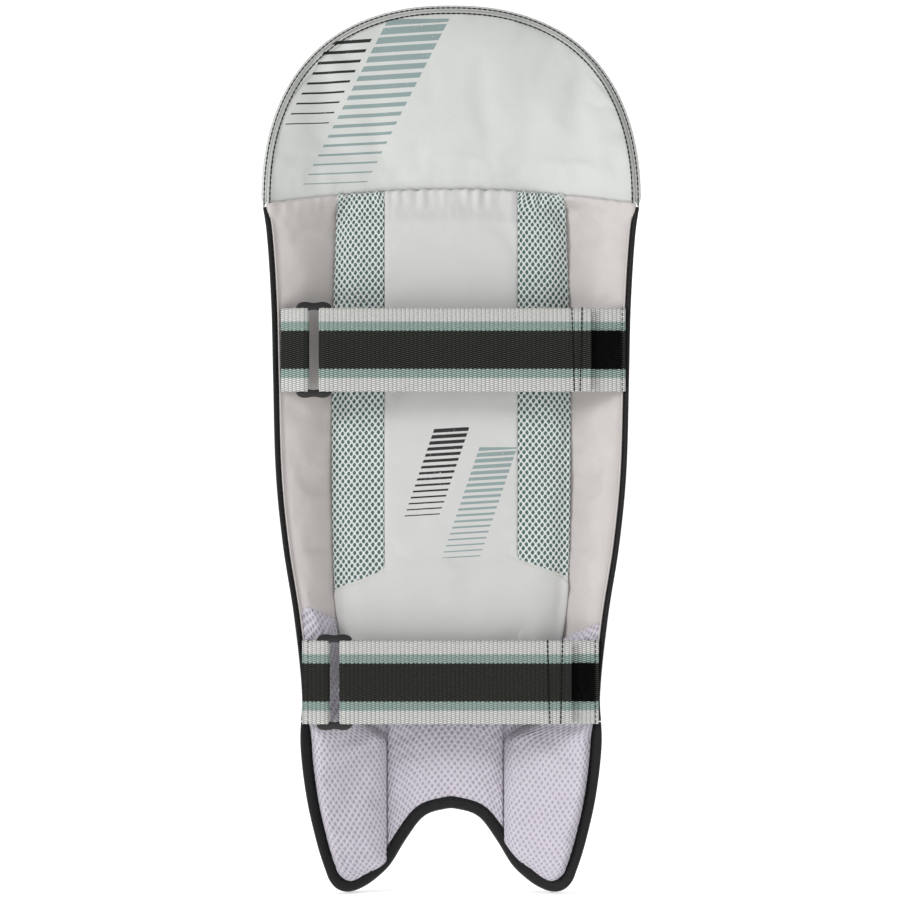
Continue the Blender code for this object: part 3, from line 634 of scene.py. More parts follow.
TEAL_INK = (140, 158, 157)
BLACK_INK = (36, 38, 38)
flap_teal_bars = {
    "left": -0.0960,
    "lean": 0.50,
    "width": 0.0400,
    "span": (0.1690, 0.2790),
    "pitch": 0.0060,
    "thick": (0.10, 0.80),
}
flap_black_bars = {
    "left": -0.1075,
    "lean": 0.50,
    "width": 0.0270,
    "span": (0.2080, 0.2660),
    "pitch": 0.0065,
    "thick": (0.10, 0.36),
}
centre_teal_bars = {
    "left": -0.0060,
    "lean": 0.34,
    "width": 0.0245,
    "span": (-0.0730, -0.0010),
    "pitch": 0.0038,
    "thick": (0.18, 0.70),
}
centre_black_bars = {
    "left": -0.0310,
    "lean": 0.34,
    "width": 0.0225,
    "span": (-0.0480, 0.0120),
    "pitch": 0.0038,
    "thick": (0.16, 0.66),
}

white_leather = leather("white_leathercloth")
flap_leather = leather("printed_flap_leather", [(flap_teal_bars, TEAL_INK), (flap_black_bars, BLACK_INK)])
centre_cloth = leather(
    "printed_centre_cloth",
    [(centre_teal_bars, TEAL_INK), (centre_black_bars, BLACK_INK)],
    colour=(210, 210, 208),
)
plain_cloth = leather("plain_bolster_cloth", colour=(210, 210, 208))
lining = satin_lining()
lattice_mesh = knitted_mesh("lattice_mesh", LATTICE, (224, 230, 228), (82, 106, 101), LATTICE_EDGE)
# The air mesh's hole colour (176, 170, 184) is painted shade in its dimples
air_mesh = knitted_mesh("lilac_air_mesh", AIR_MESH, (214, 209, 219), (176, 170, 184), AIR_MESH_EDGE)
webbing = woven_webbing()
tape = black_tape()
loop_cloth = plain_finish("black_loop_pile", (3, 3, 3), (12, 12, 12), 0.9, 1300.0, 0.0005, shine=0.08)
hook_cloth = plain_finish("black_hook_tape", (6, 6, 6), (22, 22, 22), 0.7, 1700.0, 0.0003, shine=0.2)
ring_plastic = plain_finish("black_moulded_plastic", (8, 8, 9), (20, 20, 21), 0.36, 240.0, 0.00008, coat=0.15)
black_thread = plain_finish("black_thread", (3, 3, 3), (14, 14, 14), 0.7, 2400.0, 0.0001, shine=0.2)
white_thread = plain_finish("white_thread", (196, 196, 190), (230, 230, 225), 0.7, 2400.0, 0.0001)
cane = cane_finish()


# Meshes


def points_of(piece):
    spots = np.empty(len(piece.data.vertices) * 3)
    piece.data.vertices.foreach_get("co", spots)
    return spots.reshape(-1, 3)


def set_points(piece, spots):
    piece.data.vertices.foreach_set("co", np.asarray(spots, np.float32).ravel())
    piece.data.update()


def volume_of(spots, faces):
    """Signed volume inside the four-sided faces."""
    a, b, c, d = (spots[faces[:, n]] for n in range(4))
    return np.einsum("ij,ij->i", a, np.cross(b, c)).sum() + np.einsum("ij,ij->i", a, np.cross(c, d)).sum()


def sewn(name, spots, faces, cloth, finishes, kinds):
    """A closed mesh whose faces are turned outwards, with its distances over the cloth as a UV map."""
    faces = np.asarray(faces)
    if volume_of(spots, faces) < 0:
        faces = faces[:, ::-1]
    mesh = bpy.data.meshes.new(name)
    mesh.from_pydata(spots.tolist(), [], faces.tolist())
    for finish in finishes:
        mesh.materials.append(finish)
    mesh.polygons.foreach_set("material_index", np.asarray(kinds, np.int32))
    corners = np.empty(len(mesh.loops), np.int32)
    mesh.loops.foreach_get("vertex_index", corners)
    layer = mesh.uv_layers.new(name="cloth")
    layer.data.foreach_set("uv", np.asarray(cloth, np.float32)[corners].ravel())
    mesh.shade_smooth()
    piece = bpy.data.objects.new(name, mesh)
    scene.collection.objects.link(piece)
    return piece


def lengths_along(spots, axis):
    """Distance from the middle line of a grid of points, measured over its surface."""
    steps = np.linalg.norm(np.diff(spots, axis=axis), axis=-1)
    pad = [(0, 0), (0, 0)]
    pad[axis] = (1, 0)
    total = np.cumsum(np.pad(steps, pad), axis=axis)
    middle = np.take(total, [total.shape[axis] // 2], axis=axis)
    return total - middle


def board(name, columns, rows, place, finishes, rim=1):
    """A closed piece. place(u, v, side) gives the points of its leg face (0) and its front face (1).

    finishes are those of the leg face, and of the front face and rim where they have their own.
    """
    u, v = np.meshgrid(np.linspace(0, 1, columns + 1), np.linspace(0, 1, rows + 1))
    leg, front = place(u, v, 0), place(u, v, 1)
    cell = np.arange((rows + 1) * (columns + 1)).reshape(rows + 1, columns + 1)

    def quads(grid):
        corners = (grid[:-1, :-1], grid[:-1, 1:], grid[1:, 1:], grid[1:, :-1])
        return np.stack([corner.ravel() for corner in corners], 1)

    def edge_of(grid):
        return np.concatenate([grid[0, :-1], grid[:-1, -1], grid[-1, :0:-1], grid[:0:-1, 0]])

    count = cell.size
    spots = [leg.reshape(-1, 3), front.reshape(-1, 3)]
    cloth = [
        np.stack([lengths_along(face, 1), lengths_along(face, 0)], -1).reshape(-1, 2) for face in (leg, front)
    ]
    loops = [edge_of(cell)]
    first = 2 * count
    for n in range(1, rim):
        share = n / rim
        spots.append(between(spots[0][loops[0]], spots[1][loops[0]], share))
        cloth.append(cloth[0][loops[0]] * (1 + 0.02 * share))
        loops.append(first + np.arange(len(loops[0])))
        first += len(loops[0])
    loops.append(edge_of(cell) + count)
    faces = [quads(cell), quads(cell)[:, ::-1] + count]
    for near, far in zip(loops[:-1], loops[1:]):
        faces.append(np.stack([np.roll(near, -1), near, far, np.roll(far, -1)], 1))
    kinds = np.zeros(sum(len(part) for part in faces))
    if len(finishes) > 1:
        kinds[len(faces[0]) :] = 1
    piece = sewn(name, np.concatenate(spots), np.concatenate(faces), np.concatenate(cloth), finishes, kinds)
    piece["leg_points"] = count
    return piece


def edges_held(piece, columns, rows, face=0):
    """True at every point of a board but those inside one face's edge."""
    count = piece["leg_points"]
    u, v = np.arange(count) % (columns + 1), np.arange(count) // (columns + 1)
    held = np.ones(len(points_of(piece)), bool)
    held[face * count : (face + 1) * count] = (u == 0) | (u == columns) | (v == 0) | (v == rows)
    return held


fillings = []


def fill_later(piece, held, pressure=3.0, spare=0.01, most=0.006):
    """Plans to fill a sewn shell like a cushion. held marks the points that stitching keeps in place."""
    fillings.append((piece, np.asarray(held), pressure, spare, most))


def fill_all():
    """Runs the planned fillings together, and keeps each point within its piece's limit."""
    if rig.quick() or not fillings:
        return
    for piece, held, pressure, spare, _ in fillings:
        group = piece.vertex_groups.new(name="stitched")
        group.add(np.flatnonzero(held).tolist(), 1.0, "REPLACE")
        filling = piece.modifiers.new("filling", "CLOTH")
        settings = filling.settings
        settings.quality = 5
        settings.mass = 0.25
        settings.tension_stiffness = settings.compression_stiffness = 20
        settings.shear_stiffness = 10
        settings.bending_stiffness = 0.4
        settings.air_damping = 2
        settings.vertex_group_mass = "stitched"
        settings.use_pressure = True
        settings.uniform_pressure_force = pressure
        settings.shrink_min = -spare
        settings.effector_weights.gravity = 0
        filling.collision_settings.use_collision = False
        filling.point_cache.frame_start = 1
        filling.point_cache.frame_end = 20
    for step in range(1, 21):
        scene.frame_set(step)
    graph = bpy.context.evaluated_depsgraph_get()
    for piece, _, _, _, most in fillings:
        before = points_of(piece)
        after = np.empty(before.size)
        piece.evaluated_get(graph).data.vertices.foreach_get("co", after)
        move = np.nan_to_num(after.reshape(-1, 3) - before)
        far = np.maximum(np.linalg.norm(move, axis=1, keepdims=True), 1e-9)
        piece.modifiers.clear()
        set_points(piece, before + move / far * most * np.tanh(far / most))
    scene.frame_set(1)


def applied(piece):
    """Keeps the result of a piece's modifiers as its mesh."""
    graph = bpy.context.evaluated_depsgraph_get()
    made = bpy.data.meshes.new_from_object(
        piece.evaluated_get(graph), preserve_all_data_layers=True, depsgraph=graph
    )
    piece.modifiers.clear()
    piece.vertex_groups.clear()
    made.name = piece.name
    piece.data = made
    return piece


def refine(piece, levels):
    smoother = piece.modifiers.new("finer cloth", "SUBSURF")
    smoother.levels = smoother.render_levels = levels
    applied(piece)
    piece.data.shade_smooth()


def cloth_of(piece):
    """The cloth coordinates of each point."""
    mesh = piece.data
    corners = np.empty(len(mesh.loops), np.int32)
    mesh.loops.foreach_get("vertex_index", corners)
    flat = np.empty(len(mesh.loops) * 2)
    mesh.uv_layers["cloth"].data.foreach_get("uv", flat)
    cloth = np.zeros((len(mesh.vertices), 2))
    cloth[corners] = flat.reshape(-1, 2)
    return cloth


def normals_of(piece):
    outs = np.empty(len(piece.data.vertices) * 3)
    piece.data.vertices.foreach_get("normal", outs)
    return outs.reshape(-1, 3)


def knit(piece, pitch, depth, edge, keep=None):
    """Sinks the holes of a mesh cloth into its leg side. keep(spots) gives the share that is knitted."""
    spots, outs, cloth = points_of(piece), normals_of(piece), cloth_of(piece)
    across, along = (np.cos(2 * math.pi * cloth[:, n] / pitch[n]) for n in range(2))
    wave = 1 - abs(across + along)
    sunk = ramp(wave, edge + 0.45, edge - 0.35) * ramp(outs[:, 1], 0.1, -0.2)
    if keep is not None:
        sunk = sunk * keep(spots)
    set_points(piece, spots - outs * (depth * sunk)[:, None])


def ropes(name, spots, radius, finishes, sides=14):
    """A tube along a line of points, with domed ends."""
    spots = np.asarray(spots)
    along = np.gradient(spots, axis=0)
    along /= np.linalg.norm(along, axis=1, keepdims=True)
    side = np.cross(along, (0.0, 1.0, 0.0))
    side /= np.linalg.norm(side, axis=1, keepdims=True)
    up = np.cross(side, along)
    radius = np.broadcast_to(radius, len(spots)).copy()
    for n, share in enumerate((0.05, 0.62, 0.90)):
        radius[n] *= share
        radius[-1 - n] *= share
    turn = np.arange(sides) * 2 * math.pi / sides
    ring = np.cos(turn)[None, :, None] * side[:, None] + np.sin(turn)[None, :, None] * up[:, None]
    grid = spots[:, None] + ring * radius[:, None, None]
    index = np.arange(len(spots) * sides).reshape(len(spots), sides)
    near, far = index[:-1], index[1:]
    faces = [np.stack([near, np.roll(near, -1, 1), np.roll(far, -1, 1), far], -1).reshape(-1, 4)]
    for row in (index[0], index[-1][::-1]):
        half = sides // 2
        for n in range(half - 1):
            faces.append(np.array([[row[n], row[sides - 1 - n], row[sides - 2 - n], row[n + 1]]]))
    length = np.concatenate([[0], np.cumsum(np.linalg.norm(np.diff(spots, axis=0), axis=1))])
    cloth = np.stack(np.broadcast_arrays(length[:, None], turn[None] * radius.max()), -1).reshape(-1, 2)
    faces = np.concatenate(faces)
    return sewn(name, grid.reshape(-1, 3), faces, cloth, finishes, np.zeros(len(faces)))


# Wings


def scallops(x):
    """The wavy top edge of cloth that was gathered before it was sewn to the flap."""
    return abs(np.sin(math.pi * x / 0.0074 + 0.5 * np.sin(x * 140)))


def flap_edge_y(x):
    """The flap's leg face along its seam."""
    reach = np.minimum(1, abs(x) / HALF)
    return sheet_y(x, flap_seam(x)) - 0.0035 - 0.0116 * (1 - reach**2.5)


def sewn_top(x, y, height):
    """Draws cloth out over the edge of the flap that it is sewn to."""
    over = flap_edge_y(x) - 0.0014 - 0.0024 * scallops(x)
    below = flap_seam(x) - height
    folds = 0.0020 * scallops(x) * ramp(below, 0.016, 0.002)
    return between(y - folds, np.minimum(y - folds, over), ramp(below, 0.0080, 0.0005))


def wing_spot(side, u, v, top):
    """(x, height) on a wing, with u from the shin to its edge and v from the instep seam to the flap."""
    bottom, end = INSTEP_SEAM + SEAM_GAP / 2, flap_seam(HALF) - SEAM_GAP / 2
    edge = half_width(between(bottom, end, v)) - BINDING_WALL - 0.0006
    x = between(SHIN_HALF + 2 * LAYER_GAP, edge, u)
    return side * x, between(bottom, flap_seam(x) + top, v)


def wing_leg_y(x, height):
    """The lining's leg face, a soft roll between the bolster and the binding."""
    inner = bolster_half_width(np.maximum(height, BOLSTER_FOOT)) - 0.004
    outer = half_width(height) - TAPE_SHOWS
    across = np.clip((abs(x) - inner) / (outer - inner), 0, 1)
    roll = 0.0062 * np.sin(math.pi * across**1.45) ** 0.85
    roll = roll * ramp(height, INSTEP_SEAM + 0.04, INSTEP_SEAM + 0.08)
    pulled = 0.0020 * gathers(x, flap_seam(x) - height, 0.007, 0.0074) * ramp(across, -0.2, 0.3)
    return sewn_top(x, sheet_y(x, height) - LINING - 0.0002 - roll - pulled, height)


WING_CHANNELS = (0.36, 0.68)


def wing_front_y(x, height):
    """The leather front, with shallow rolls between stitched channels."""
    face = foam_front(x, height) + LAYER_GAP + COVER
    inner = SHIN_HALF + 2 * LAYER_GAP
    across = (abs(x) - inner) / (half_width(height) - BINDING_WIDTH - inner)
    groove = sum(np.exp(-(((across - line) / 0.035) ** 2)) for line in WING_CHANNELS)
    crown = 0.0016 * abs(np.sin(3 * math.pi * np.clip(across, 0, 1))) ** 0.6
    folds = 0.0010 * gathers(x, flap_seam(x) - height, 0.008, 0.0080)
    return face + crown * ramp(across, 1.0, 0.9) + folds - 0.0008 * groove


def make_wing(name, side):
    def place(u, v, face):
        top = -SEAM_GAP / 2 if face else 0.0010 + 0.0020 * scallops(side * between(SHIN_HALF, HALF, u))
        x, height = wing_spot(side, u, v, top)
        y = wing_front_y(x, height) if face else wing_leg_y(x, height)
        return at(x, y, height)

    wing = board(name + "_wing", 26, 110, place, [lining, white_leather], rim=2)
    spots = points_of(wing)
    height = spots[:, 2] + LEG_MOUNT_HEIGHT
    x = abs(spots[:, 0])
    free = (np.arange(len(spots)) < wing["leg_points"]) & (x > bolster_half_width(height) - 0.003)
    free &= (x < half_width(height) - BINDING_WIDTH - 0.003) & (height > INSTEP_SEAM + 0.06)
    free &= height < flap_seam(x) - 0.004
    fill_later(wing, ~free, 1.2, 0.012, 0.0018)
    return wing


# Bindings


def binding(name, spots, across, leg, front, width, finish, leg_width=None):
    """A folded tape with a rounded back. spots are (x, height), across points into the pad."""
    leg_width = leg_width or width

    def place(u, v, side):
        n = np.rint(u * (len(spots) - 1)).astype(int)
        wall = BINDING_WALL * (1 - side)
        turn = np.clip((2 * v - 1) / 0.6, -1, 1) * math.pi / 2
        flat = np.clip((abs(2 * v - 1) - 0.6) / 0.4, 0, 1)
        back = 0.0030 * (1 - np.cos(turn) ** 0.7) + wall * np.cos(turn)
        depth = between(back, np.where(turn < 0, leg_width, width), flat)
        x = spots[n, 0] + across[n, 0] * depth
        height = spots[n, 1] + across[n, 1] * depth
        near, far = leg(x, height), front(x, height)
        half = (far - near) / 2 + LAYER_GAP + BINDING_WALL - wall
        pinch = 1 - 0.10 * flat + 0.012 * np.sin(u * len(spots) * 0.9) * flat
        y = (near + far) / 2 + half * pinch * np.sign(turn) * abs(np.sin(turn)) ** 0.75
        return at(x, y, height)

    return board(name, len(spots) - 1, 20, place, [finish], rim=1)


def evenly(spots, count):
    """The same line with evenly spaced points."""
    spots = np.asarray(spots)
    length = np.concatenate([[0], np.cumsum(np.linalg.norm(np.diff(spots, axis=0), axis=1))])
    where = np.linspace(0, length[-1], count)
    return np.stack([np.interp(where, length, spots[:, n]) for n in range(spots.shape[1])], -1)


def inward_of(spots, smooth=3):
    """Unit vectors to the left of a line of (x, height) points."""
    along = np.gradient(spots, axis=0)
    for _ in range(smooth):
        along[1:-1] = (along[:-2] + 2 * along[1:-1] + along[2:]) / 4
    along /= np.linalg.norm(along, axis=1, keepdims=True)
    return np.stack([-along[:, 1], along[:, 0]], -1)


def side_line(side, inset=0.0):
    """(x, height) points up one side of the pad."""
    height = np.linspace(INSTEP_SEAM + SEAM_GAP / 2, flap_seam(HALF) - SEAM_GAP / 2, 150)
    return np.stack([side * (half_width(height) - inset), height], -1)


def make_side_binding(name, side):
    def leg(x, height):
        return sheet_y(x, height) - LINING

    def front(x, height):
        return foam_front(x, height) + LAYER_GAP + COVER

    spots = side_line(side)
    inward = inward_of(spots) * side
    return binding(name + "_edge_binding", spots, inward, leg, front, BINDING_WIDTH, tape, TAPE_SHOWS)


# Bolster

# Each side's (x, height) at the outer and inner end of the seam under its lattice panel
MESH_ENDS = {-1: ((-0.0734, 0.1996), (-0.0440, 0.2112)), 1: ((0.0806, 0.2054), (0.0423, 0.2190))}


def mesh_end(side, x):
    """Height of the slanting seam where a lattice panel ends."""
    (outer, low), (inner, high) = MESH_ENDS[side]
    return low + (x - outer) / (inner - outer) * (high - low)


def bolster_panel(name, columns, edges, finishes, lift):
    """A panel of the bolster's face. edges gives its sides at a height, and lift how far it stands out."""

    def place(u, v, face):
        low, high = edges(between(BOLSTER_FOOT, FLAP_SEAM_HEIGHT, v))
        x = between(low, high, u)
        top = -SEAM_GAP / 2 if face else 0.0010 + 0.0020 * scallops(x)
        height = between(BOLSTER_FOOT, flap_seam(x) + top, v)
        if face:
            return at(x, sheet_y(x, height) - LINING - SOFT_GAP, height)
        fold = 0.0026 * gathers(x, flap_seam(x) - height, 0.012, 0.0074)
        y = bolster_y(x, height) - lift(height) - fold * ramp(v, 0.85, 0.95)
        return at(x, sewn_top(x, y, height), height)

    panel = board(name, columns, 124, place, finishes, rim=2)
    spots = points_of(panel)
    u = np.arange(panel["leg_points"]) % (columns + 1)
    held = np.ones(len(spots), bool)
    held[: panel["leg_points"]] = (u == 0) | (u == columns)
    height = spots[:, 2] + LEG_MOUNT_HEIGHT
    held |= (height < BOLSTER_FOOT + 0.001) | (height > flap_seam(spots[:, 0]) - 0.004)
    fill_later(panel, held, 1.0, 0.010, 0.0009)
    return panel


def seam_of(height):
    """X of the seam between the centre and side panels."""
    return np.minimum(CENTRE_PANEL, 0.62 * bolster_half_width(height))


def bolster_reach(height):
    return BOLSTER_SPREAD * bolster_half_width(height)


def centre_reach(side, height):
    """How far the centre panel reaches. It spreads over the plain foot of each side panel."""
    (_, low), (_, high) = MESH_ENDS[side]
    share = np.clip((high - height) / (high - low), 0, 1)
    return between(seam_of(height) + 0.0012, bolster_reach(height) + 0.0006, share)


def make_bolster():
    centre = bolster_panel(
        "bolster_centre_panel",
        36,
        lambda height: (-centre_reach(-1, height), centre_reach(1, height)),
        [centre_cloth],
        lambda height: 0.0011 * ramp(height, 0.2200, 0.2110),
    )
    left = bolster_panel(
        "bolster_mesh_left",
        15,
        lambda height: (-bolster_reach(height), -seam_of(height) + 0.0002),
        [lattice_mesh, plain_cloth],
        lambda height: 0.0005,
    )
    right = bolster_panel(
        "bolster_mesh_right",
        15,
        lambda height: (seam_of(height) - 0.0002, bolster_reach(height)),
        [lattice_mesh, plain_cloth],
        lambda height: 0.0005,
    )
    return centre, left, right


def dress_mesh_panel(panel, side):
    """Knits the panel down to its slanting seam, and leaves plain cloth below it."""
    knit(
        panel,
        LATTICE,
        0.0006,
        LATTICE_EDGE,
        lambda spots: ramp(spots[:, 2] + LEG_MOUNT_HEIGHT - mesh_end(side, spots[:, 0]), 0.0, 0.001),
    )
    middles = np.empty(len(panel.data.polygons) * 3)
    panel.data.polygons.foreach_get("center", middles)
    middles = middles.reshape(-1, 3)
    plain = middles[:, 2] + LEG_MOUNT_HEIGHT < mesh_end(side, middles[:, 0])
    plain |= middles[:, 1] > sheet_y(middles[:, 0], middles[:, 2] + LEG_MOUNT_HEIGHT) - 0.0035
    panel.data.polygons.foreach_set("material_index", plain.astype(np.int32))


# Knee flap


def dome(theta, reach, inset):
    """(x, height, reach) on the knee flap, theta round from the right end of its seam."""
    reach = reach * (1 - inset / HALF)
    power = 2 / DOME_ROUNDNESS
    x = np.sign(np.cos(theta)) * abs(np.cos(theta)) ** power * reach * HALF
    rise = np.maximum(0, np.sin(theta)) ** power
    drop = FLAP_SEAM_DROP * (x / HALF) ** 2 * (1 - np.maximum(0, np.sin(theta))) ** 1.5
    return x, FLAP_SEAM_HEIGHT + rise * reach * KNEE_FLAP_HEIGHT - drop, reach


def flap_leg_y(x, height, reach, fullness=1.0):
    rise = height - flap_seam(x)
    puff = 0.0135 * (1 - reach**2.5) + 0.0070 * (1 - reach**2) * ramp(rise, 0, 0.022)
    return sheet_y(x, height) - 0.0035 - puff * fullness


def flap_front_y(x, height, reach):
    return sheet_y(x, height) + 0.0060 + 0.0050 * (1 - reach**3)


def make_knee_flap():
    columns, rows = 64, 40
    inset = PIPING - 0.0006

    def place(u, v, face):
        wide = (2 * u - 1) * np.sqrt(1 - v**2 / 2)
        tall = v * np.sqrt(1 - (2 * u - 1) ** 2 / 2)
        reach = np.hypot(wide, tall)
        x, height, reach = dome(np.arctan2(tall, wide), reach, inset)
        if face:
            y = flap_front_y(x, height, reach)
        else:
            y = flap_leg_y(x, height, reach, 0.86)
            y = y - 0.0012 * gathers(x, height - flap_seam(x), 0.006, 0.0105) * (1 - reach**6)
        return at(x, y, height + SEAM_GAP / 2)

    flap = board("knee_flap", columns, rows, place, [flap_leather, white_leather], rim=4)
    leg = flap["leg_points"]
    held = edges_held(flap, columns, rows)
    held[: 2 * (columns + 1)] = True
    held[leg : 2 * leg] = held[:leg]
    fill_later(flap, held, 1.4, 0.010, 0.0040)
    return flap


def piping_line(inset=PIPING / 2, lift=0.0, count=240):
    """Points round the knee flap, and the leg-side face there if lift is given."""
    theta = np.linspace(0, math.pi, count)
    x, height, reach = dome(theta, 1.0, inset)
    near, far = flap_leg_y(x, height, reach), flap_front_y(x, height, reach)
    y = near - lift if lift else (near + far) / 2
    return evenly(at(x, y, height + SEAM_GAP / 2), count)


# Front of the shin


def make_shin_body():
    def place(u, v, face):
        x = between(-SHIN_HALF - 0.0016, SHIN_HALF + 0.0016, u)
        height = between(INSTEP_SEAM - 0.0002, flap_seam(x) - SEAM_GAP / 2, v)
        y = foam_front(x, height) + 0.0003 if face else sheet_y(x, height) + LAYER_GAP
        return at(x, y, height)

    return board("shin_body", 24, 60, place, [white_leather], rim=1)


def make_shin_facing():
    def place(u, v, face):
        x = between(-SHIN_HALF, SHIN_HALF, u)
        height = between(INSTEP_SEAM + SEAM_GAP / 2, SHIN_FACE_TOP, v)
        bulge = abs(np.cos(math.pi * x / RIB_PITCH)) ** 0.5
        crease = 0.0005 * np.sin(height * 310 + 3 * x / RIB_PITCH) * (1 - bulge)
        ends = 1 - 0.55 * np.exp(-np.minimum(v, 1 - v) * 90)
        y = foam_front(x, height) + LAYER_GAP + RIB_RISE * bulge * ends + crease + COVER * face
        return at(x, y, height)

    return board("shin_facing", 16 * CANES, 70, place, [white_leather], rim=1)


def make_knee_roll(n):
    bottom = KNEE_ROLLS_TOP - KNEE_ROLL_HEIGHT * (KNEE_ROLLS - n)

    def place(u, v, face):
        x = between(-KNEE_ROLLS_REACH, KNEE_ROLLS_REACH, u)
        height = between(bottom, bottom + KNEE_ROLL_HEIGHT - SEAM_GAP, v)
        back = foam_front(x, height) + LAYER_GAP + COVER + 2 * SOFT_GAP
        if not face:
            return at(x, back, height)
        swell = np.sqrt(np.maximum(0, 1 - (2 * v - 1) ** 2)) * (1 - abs(2 * u - 1) ** 6)
        ends = np.minimum(u, 1 - u) * 2 * KNEE_ROLLS_REACH
        fold = 0.0012 * np.cos(6 * math.pi * v) * np.exp(-ends / 0.016) * swell
        seam = np.minimum(v, 1 - v) * KNEE_ROLL_HEIGHT
        tuck = 0.0012 * gathers(x, seam, 0.003, 0.0090) * swell
        return at(x, back + 0.0018 + 0.0185 * swell + fold + tuck, height)

    roll = board("knee_roll_%d" % (n + 1), 60, 16, place, [white_leather], rim=1)
    fill_later(roll, edges_held(roll, 60, 16, face=1), 2.0, 0.02, 0.0030)
    return roll


# Instep and mesh rolls


def instep_spot(u, v, inset, top):
    """(x, height) on the instep, this far inside its edges."""
    toe = half_width(TOE_HEIGHT) - inset
    low = inset_bottom(between(-toe, toe, u), inset)
    height = between(low, top, v)
    outer = half_width(height) - inset
    return between(-outer, outer, u), height


def instep_leg_y(x, height):
    return sheet_y(x, height) - LAYER_GAP


def instep_front_y(x, height):
    return sheet_y(x, height) + INSTEP_FOAM + LAYER_GAP + COVER


def make_instep():
    def place(u, v, face):
        x, height = instep_spot(u, v, BINDING_WALL + 0.0032, INSTEP_SEAM - SEAM_GAP / 2)
        if face:
            crown = 0.0018 * (1 - (2 * v - 1) ** 4) * (1 - (2 * u - 1) ** 6)
            return at(x, instep_front_y(x, height) + crown, height)
        return at(x, sheet_y(x, height), height)

    return board("instep", 90, 40, place, [air_mesh, white_leather], rim=2)


def instep_line(inset=0.0, count=320):
    """(x, height) points down the right side of the instep, under the lobes and up the left side."""
    top, toe = INSTEP_SEAM - SEAM_GAP / 2, half_width(TOE_HEIGHT)
    height = np.linspace(top, bottom_edge(toe), 60)[:-1]
    right = np.stack([half_width(height), height], -1)
    across = np.cos(np.linspace(0, math.pi, 161))
    x = toe * np.sign(across) * abs(across) ** 0.85
    under = np.stack([x, bottom_edge(x)], -1)
    line = evenly(np.concatenate([right, under, right[::-1] * (-1, 1)]), count)[::-1]
    for _ in range(6):
        line[1:-1] = (line[:-2] + 2 * line[1:-1] + line[2:]) / 4
    return line + inward_of(line) * -inset


def mesh_roll_spot(name, u, v):
    """(x, height, end) on a mesh roll, from its lobe up to its slanting top beside the bolster."""
    clear = INSTEP_BINDING_WIDTH - 0.0006
    toe = half_width(TOE_HEIGHT) - clear
    side = CENTRE_PAD_SIDES[name] + SEAM_GAP / 4
    low = inset_bottom(between(side, toe, u), between(0.0036, clear, ramp(u, 0.0, 0.55)))
    height = between(low, ANKLE_ROLL_TOPS[name] + 0.0030 - 0.0110 * (1 - u) ** 1.3, v)
    beside = bolster_half_width(np.maximum(height, BOLSTER_FOOT)) - 0.0005
    inner = between(side, beside, ramp(height, 0.098, 0.119))
    outer = half_width(height) - between(clear, TAPE_SHOWS + 0.0004, ramp(height, 0.10, 0.12))
    return between(inner, outer, u), height, np.clip((v - 0.88) / 0.12, 0, 1)


def make_mesh_roll(name, side):
    def place(u, v, face):
        x, height, end = mesh_roll_spot(name, u, v)
        gap = between(MESH_PAD_GAP, LINING + MESH_PAD_GAP, ramp(height, INSTEP_SEAM - 0.002, INSTEP_SEAM))
        back = sheet_y(x, height) - gap
        if face:
            return at(side * x, back, height)
        depth = between(0.0120, 0.0090, ramp(height, 0.10, 0.13))
        across = np.sqrt(np.maximum(0, 1 - (2 * u - 1) ** 4))
        lengthwise = (1 - (1 - np.minimum(1, v * 1.9)) ** 4) ** 0.5 * (1 - 0.8 * end**3) ** 0.5
        y = back - 0.0017 - depth * across * lengthwise
        under_strap = ramp(height, INSTEP_SEAM - 0.010, INSTEP_SEAM)
        return at(side * x, between(y, np.maximum(y, UNDER_STRAP_Y), under_strap), height)

    roll = board(name + "_mesh_roll", 14, 54, place, [air_mesh], rim=2)
    fill_later(roll, edges_held(roll, 14, 54), 2.0, 0.02, 0.0018)
    return roll


def make_centre_pad():
    left, right = CENTRE_PAD_SIDES["left"] - SEAM_GAP / 2, CENTRE_PAD_SIDES["right"] - SEAM_GAP / 2

    def place(u, v, face):
        x = between(-left, right, u)
        low = inset_bottom(x, INSTEP_BINDING_WIDTH + 0.0002)
        height = between(low, INSTEP_SEAM - SEAM_GAP / 2, v)
        back = sheet_y(x, height) - SOFT_GAP
        if face:
            return at(x, back, height)
        swell = (1 - (2 * u - 1) ** 4) * (1 - (1 - v) ** 4)
        return at(x, back - 0.0018 - 0.0055 * swell, height)

    pad = board("instep_centre_pad", 26, 20, place, [air_mesh], rim=2)
    fill_later(pad, edges_held(pad, 26, 20), 2.0, 0.015, 0.0022)
    return pad


# Straps


def strap_layout(name):
    """Where a strap lies, read from its solids and its ring's axis."""
    joint = next(item for item in frame["joints"] if item["name"] == name + "_ring_pivot")
    pivot = joint["pos_m"]
    run_low, run_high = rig.box(name + "_strap_run")
    _, end_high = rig.box(name + "_strap_end")
    tab_low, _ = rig.box(name + "_strap_tab")
    pile_low, pile_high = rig.box(name + "_loop_strip")
    lay = {"centre": (run_low.z + run_high.z) / 2 + LEG_MOUNT_HEIGHT}
    lay["left"], lay["bar_y"] = pivot[0], pivot[1]
    lay["right"] = lay["left"] + BAR_SPACING
    lay["run_x"], lay["end_x"], lay["tab_x"] = run_high.x, end_high.x, tab_low.x
    lay["pile"] = (pile_low.x, pile_high.x)
    lay["run_y"] = lay["bar_y"] + 0.0020
    lay["tab_y"] = lay["run_y"] + (0.0023 if name == "upper" else -0.00097)
    return lay


def run_y(lay, x):
    share = (x - lay["right"]) / (lay["run_x"] - lay["right"])
    return between(lay["bar_y"] + LOOP, lay["run_y"], share)


def end_y(lay, x):
    share = np.minimum(1, 1.6 * (x - lay["right"]) / (lay["end_x"] - lay["right"]))
    return between(lay["bar_y"] - LOOP, run_y(lay, lay["end_x"]) - STACK, share)


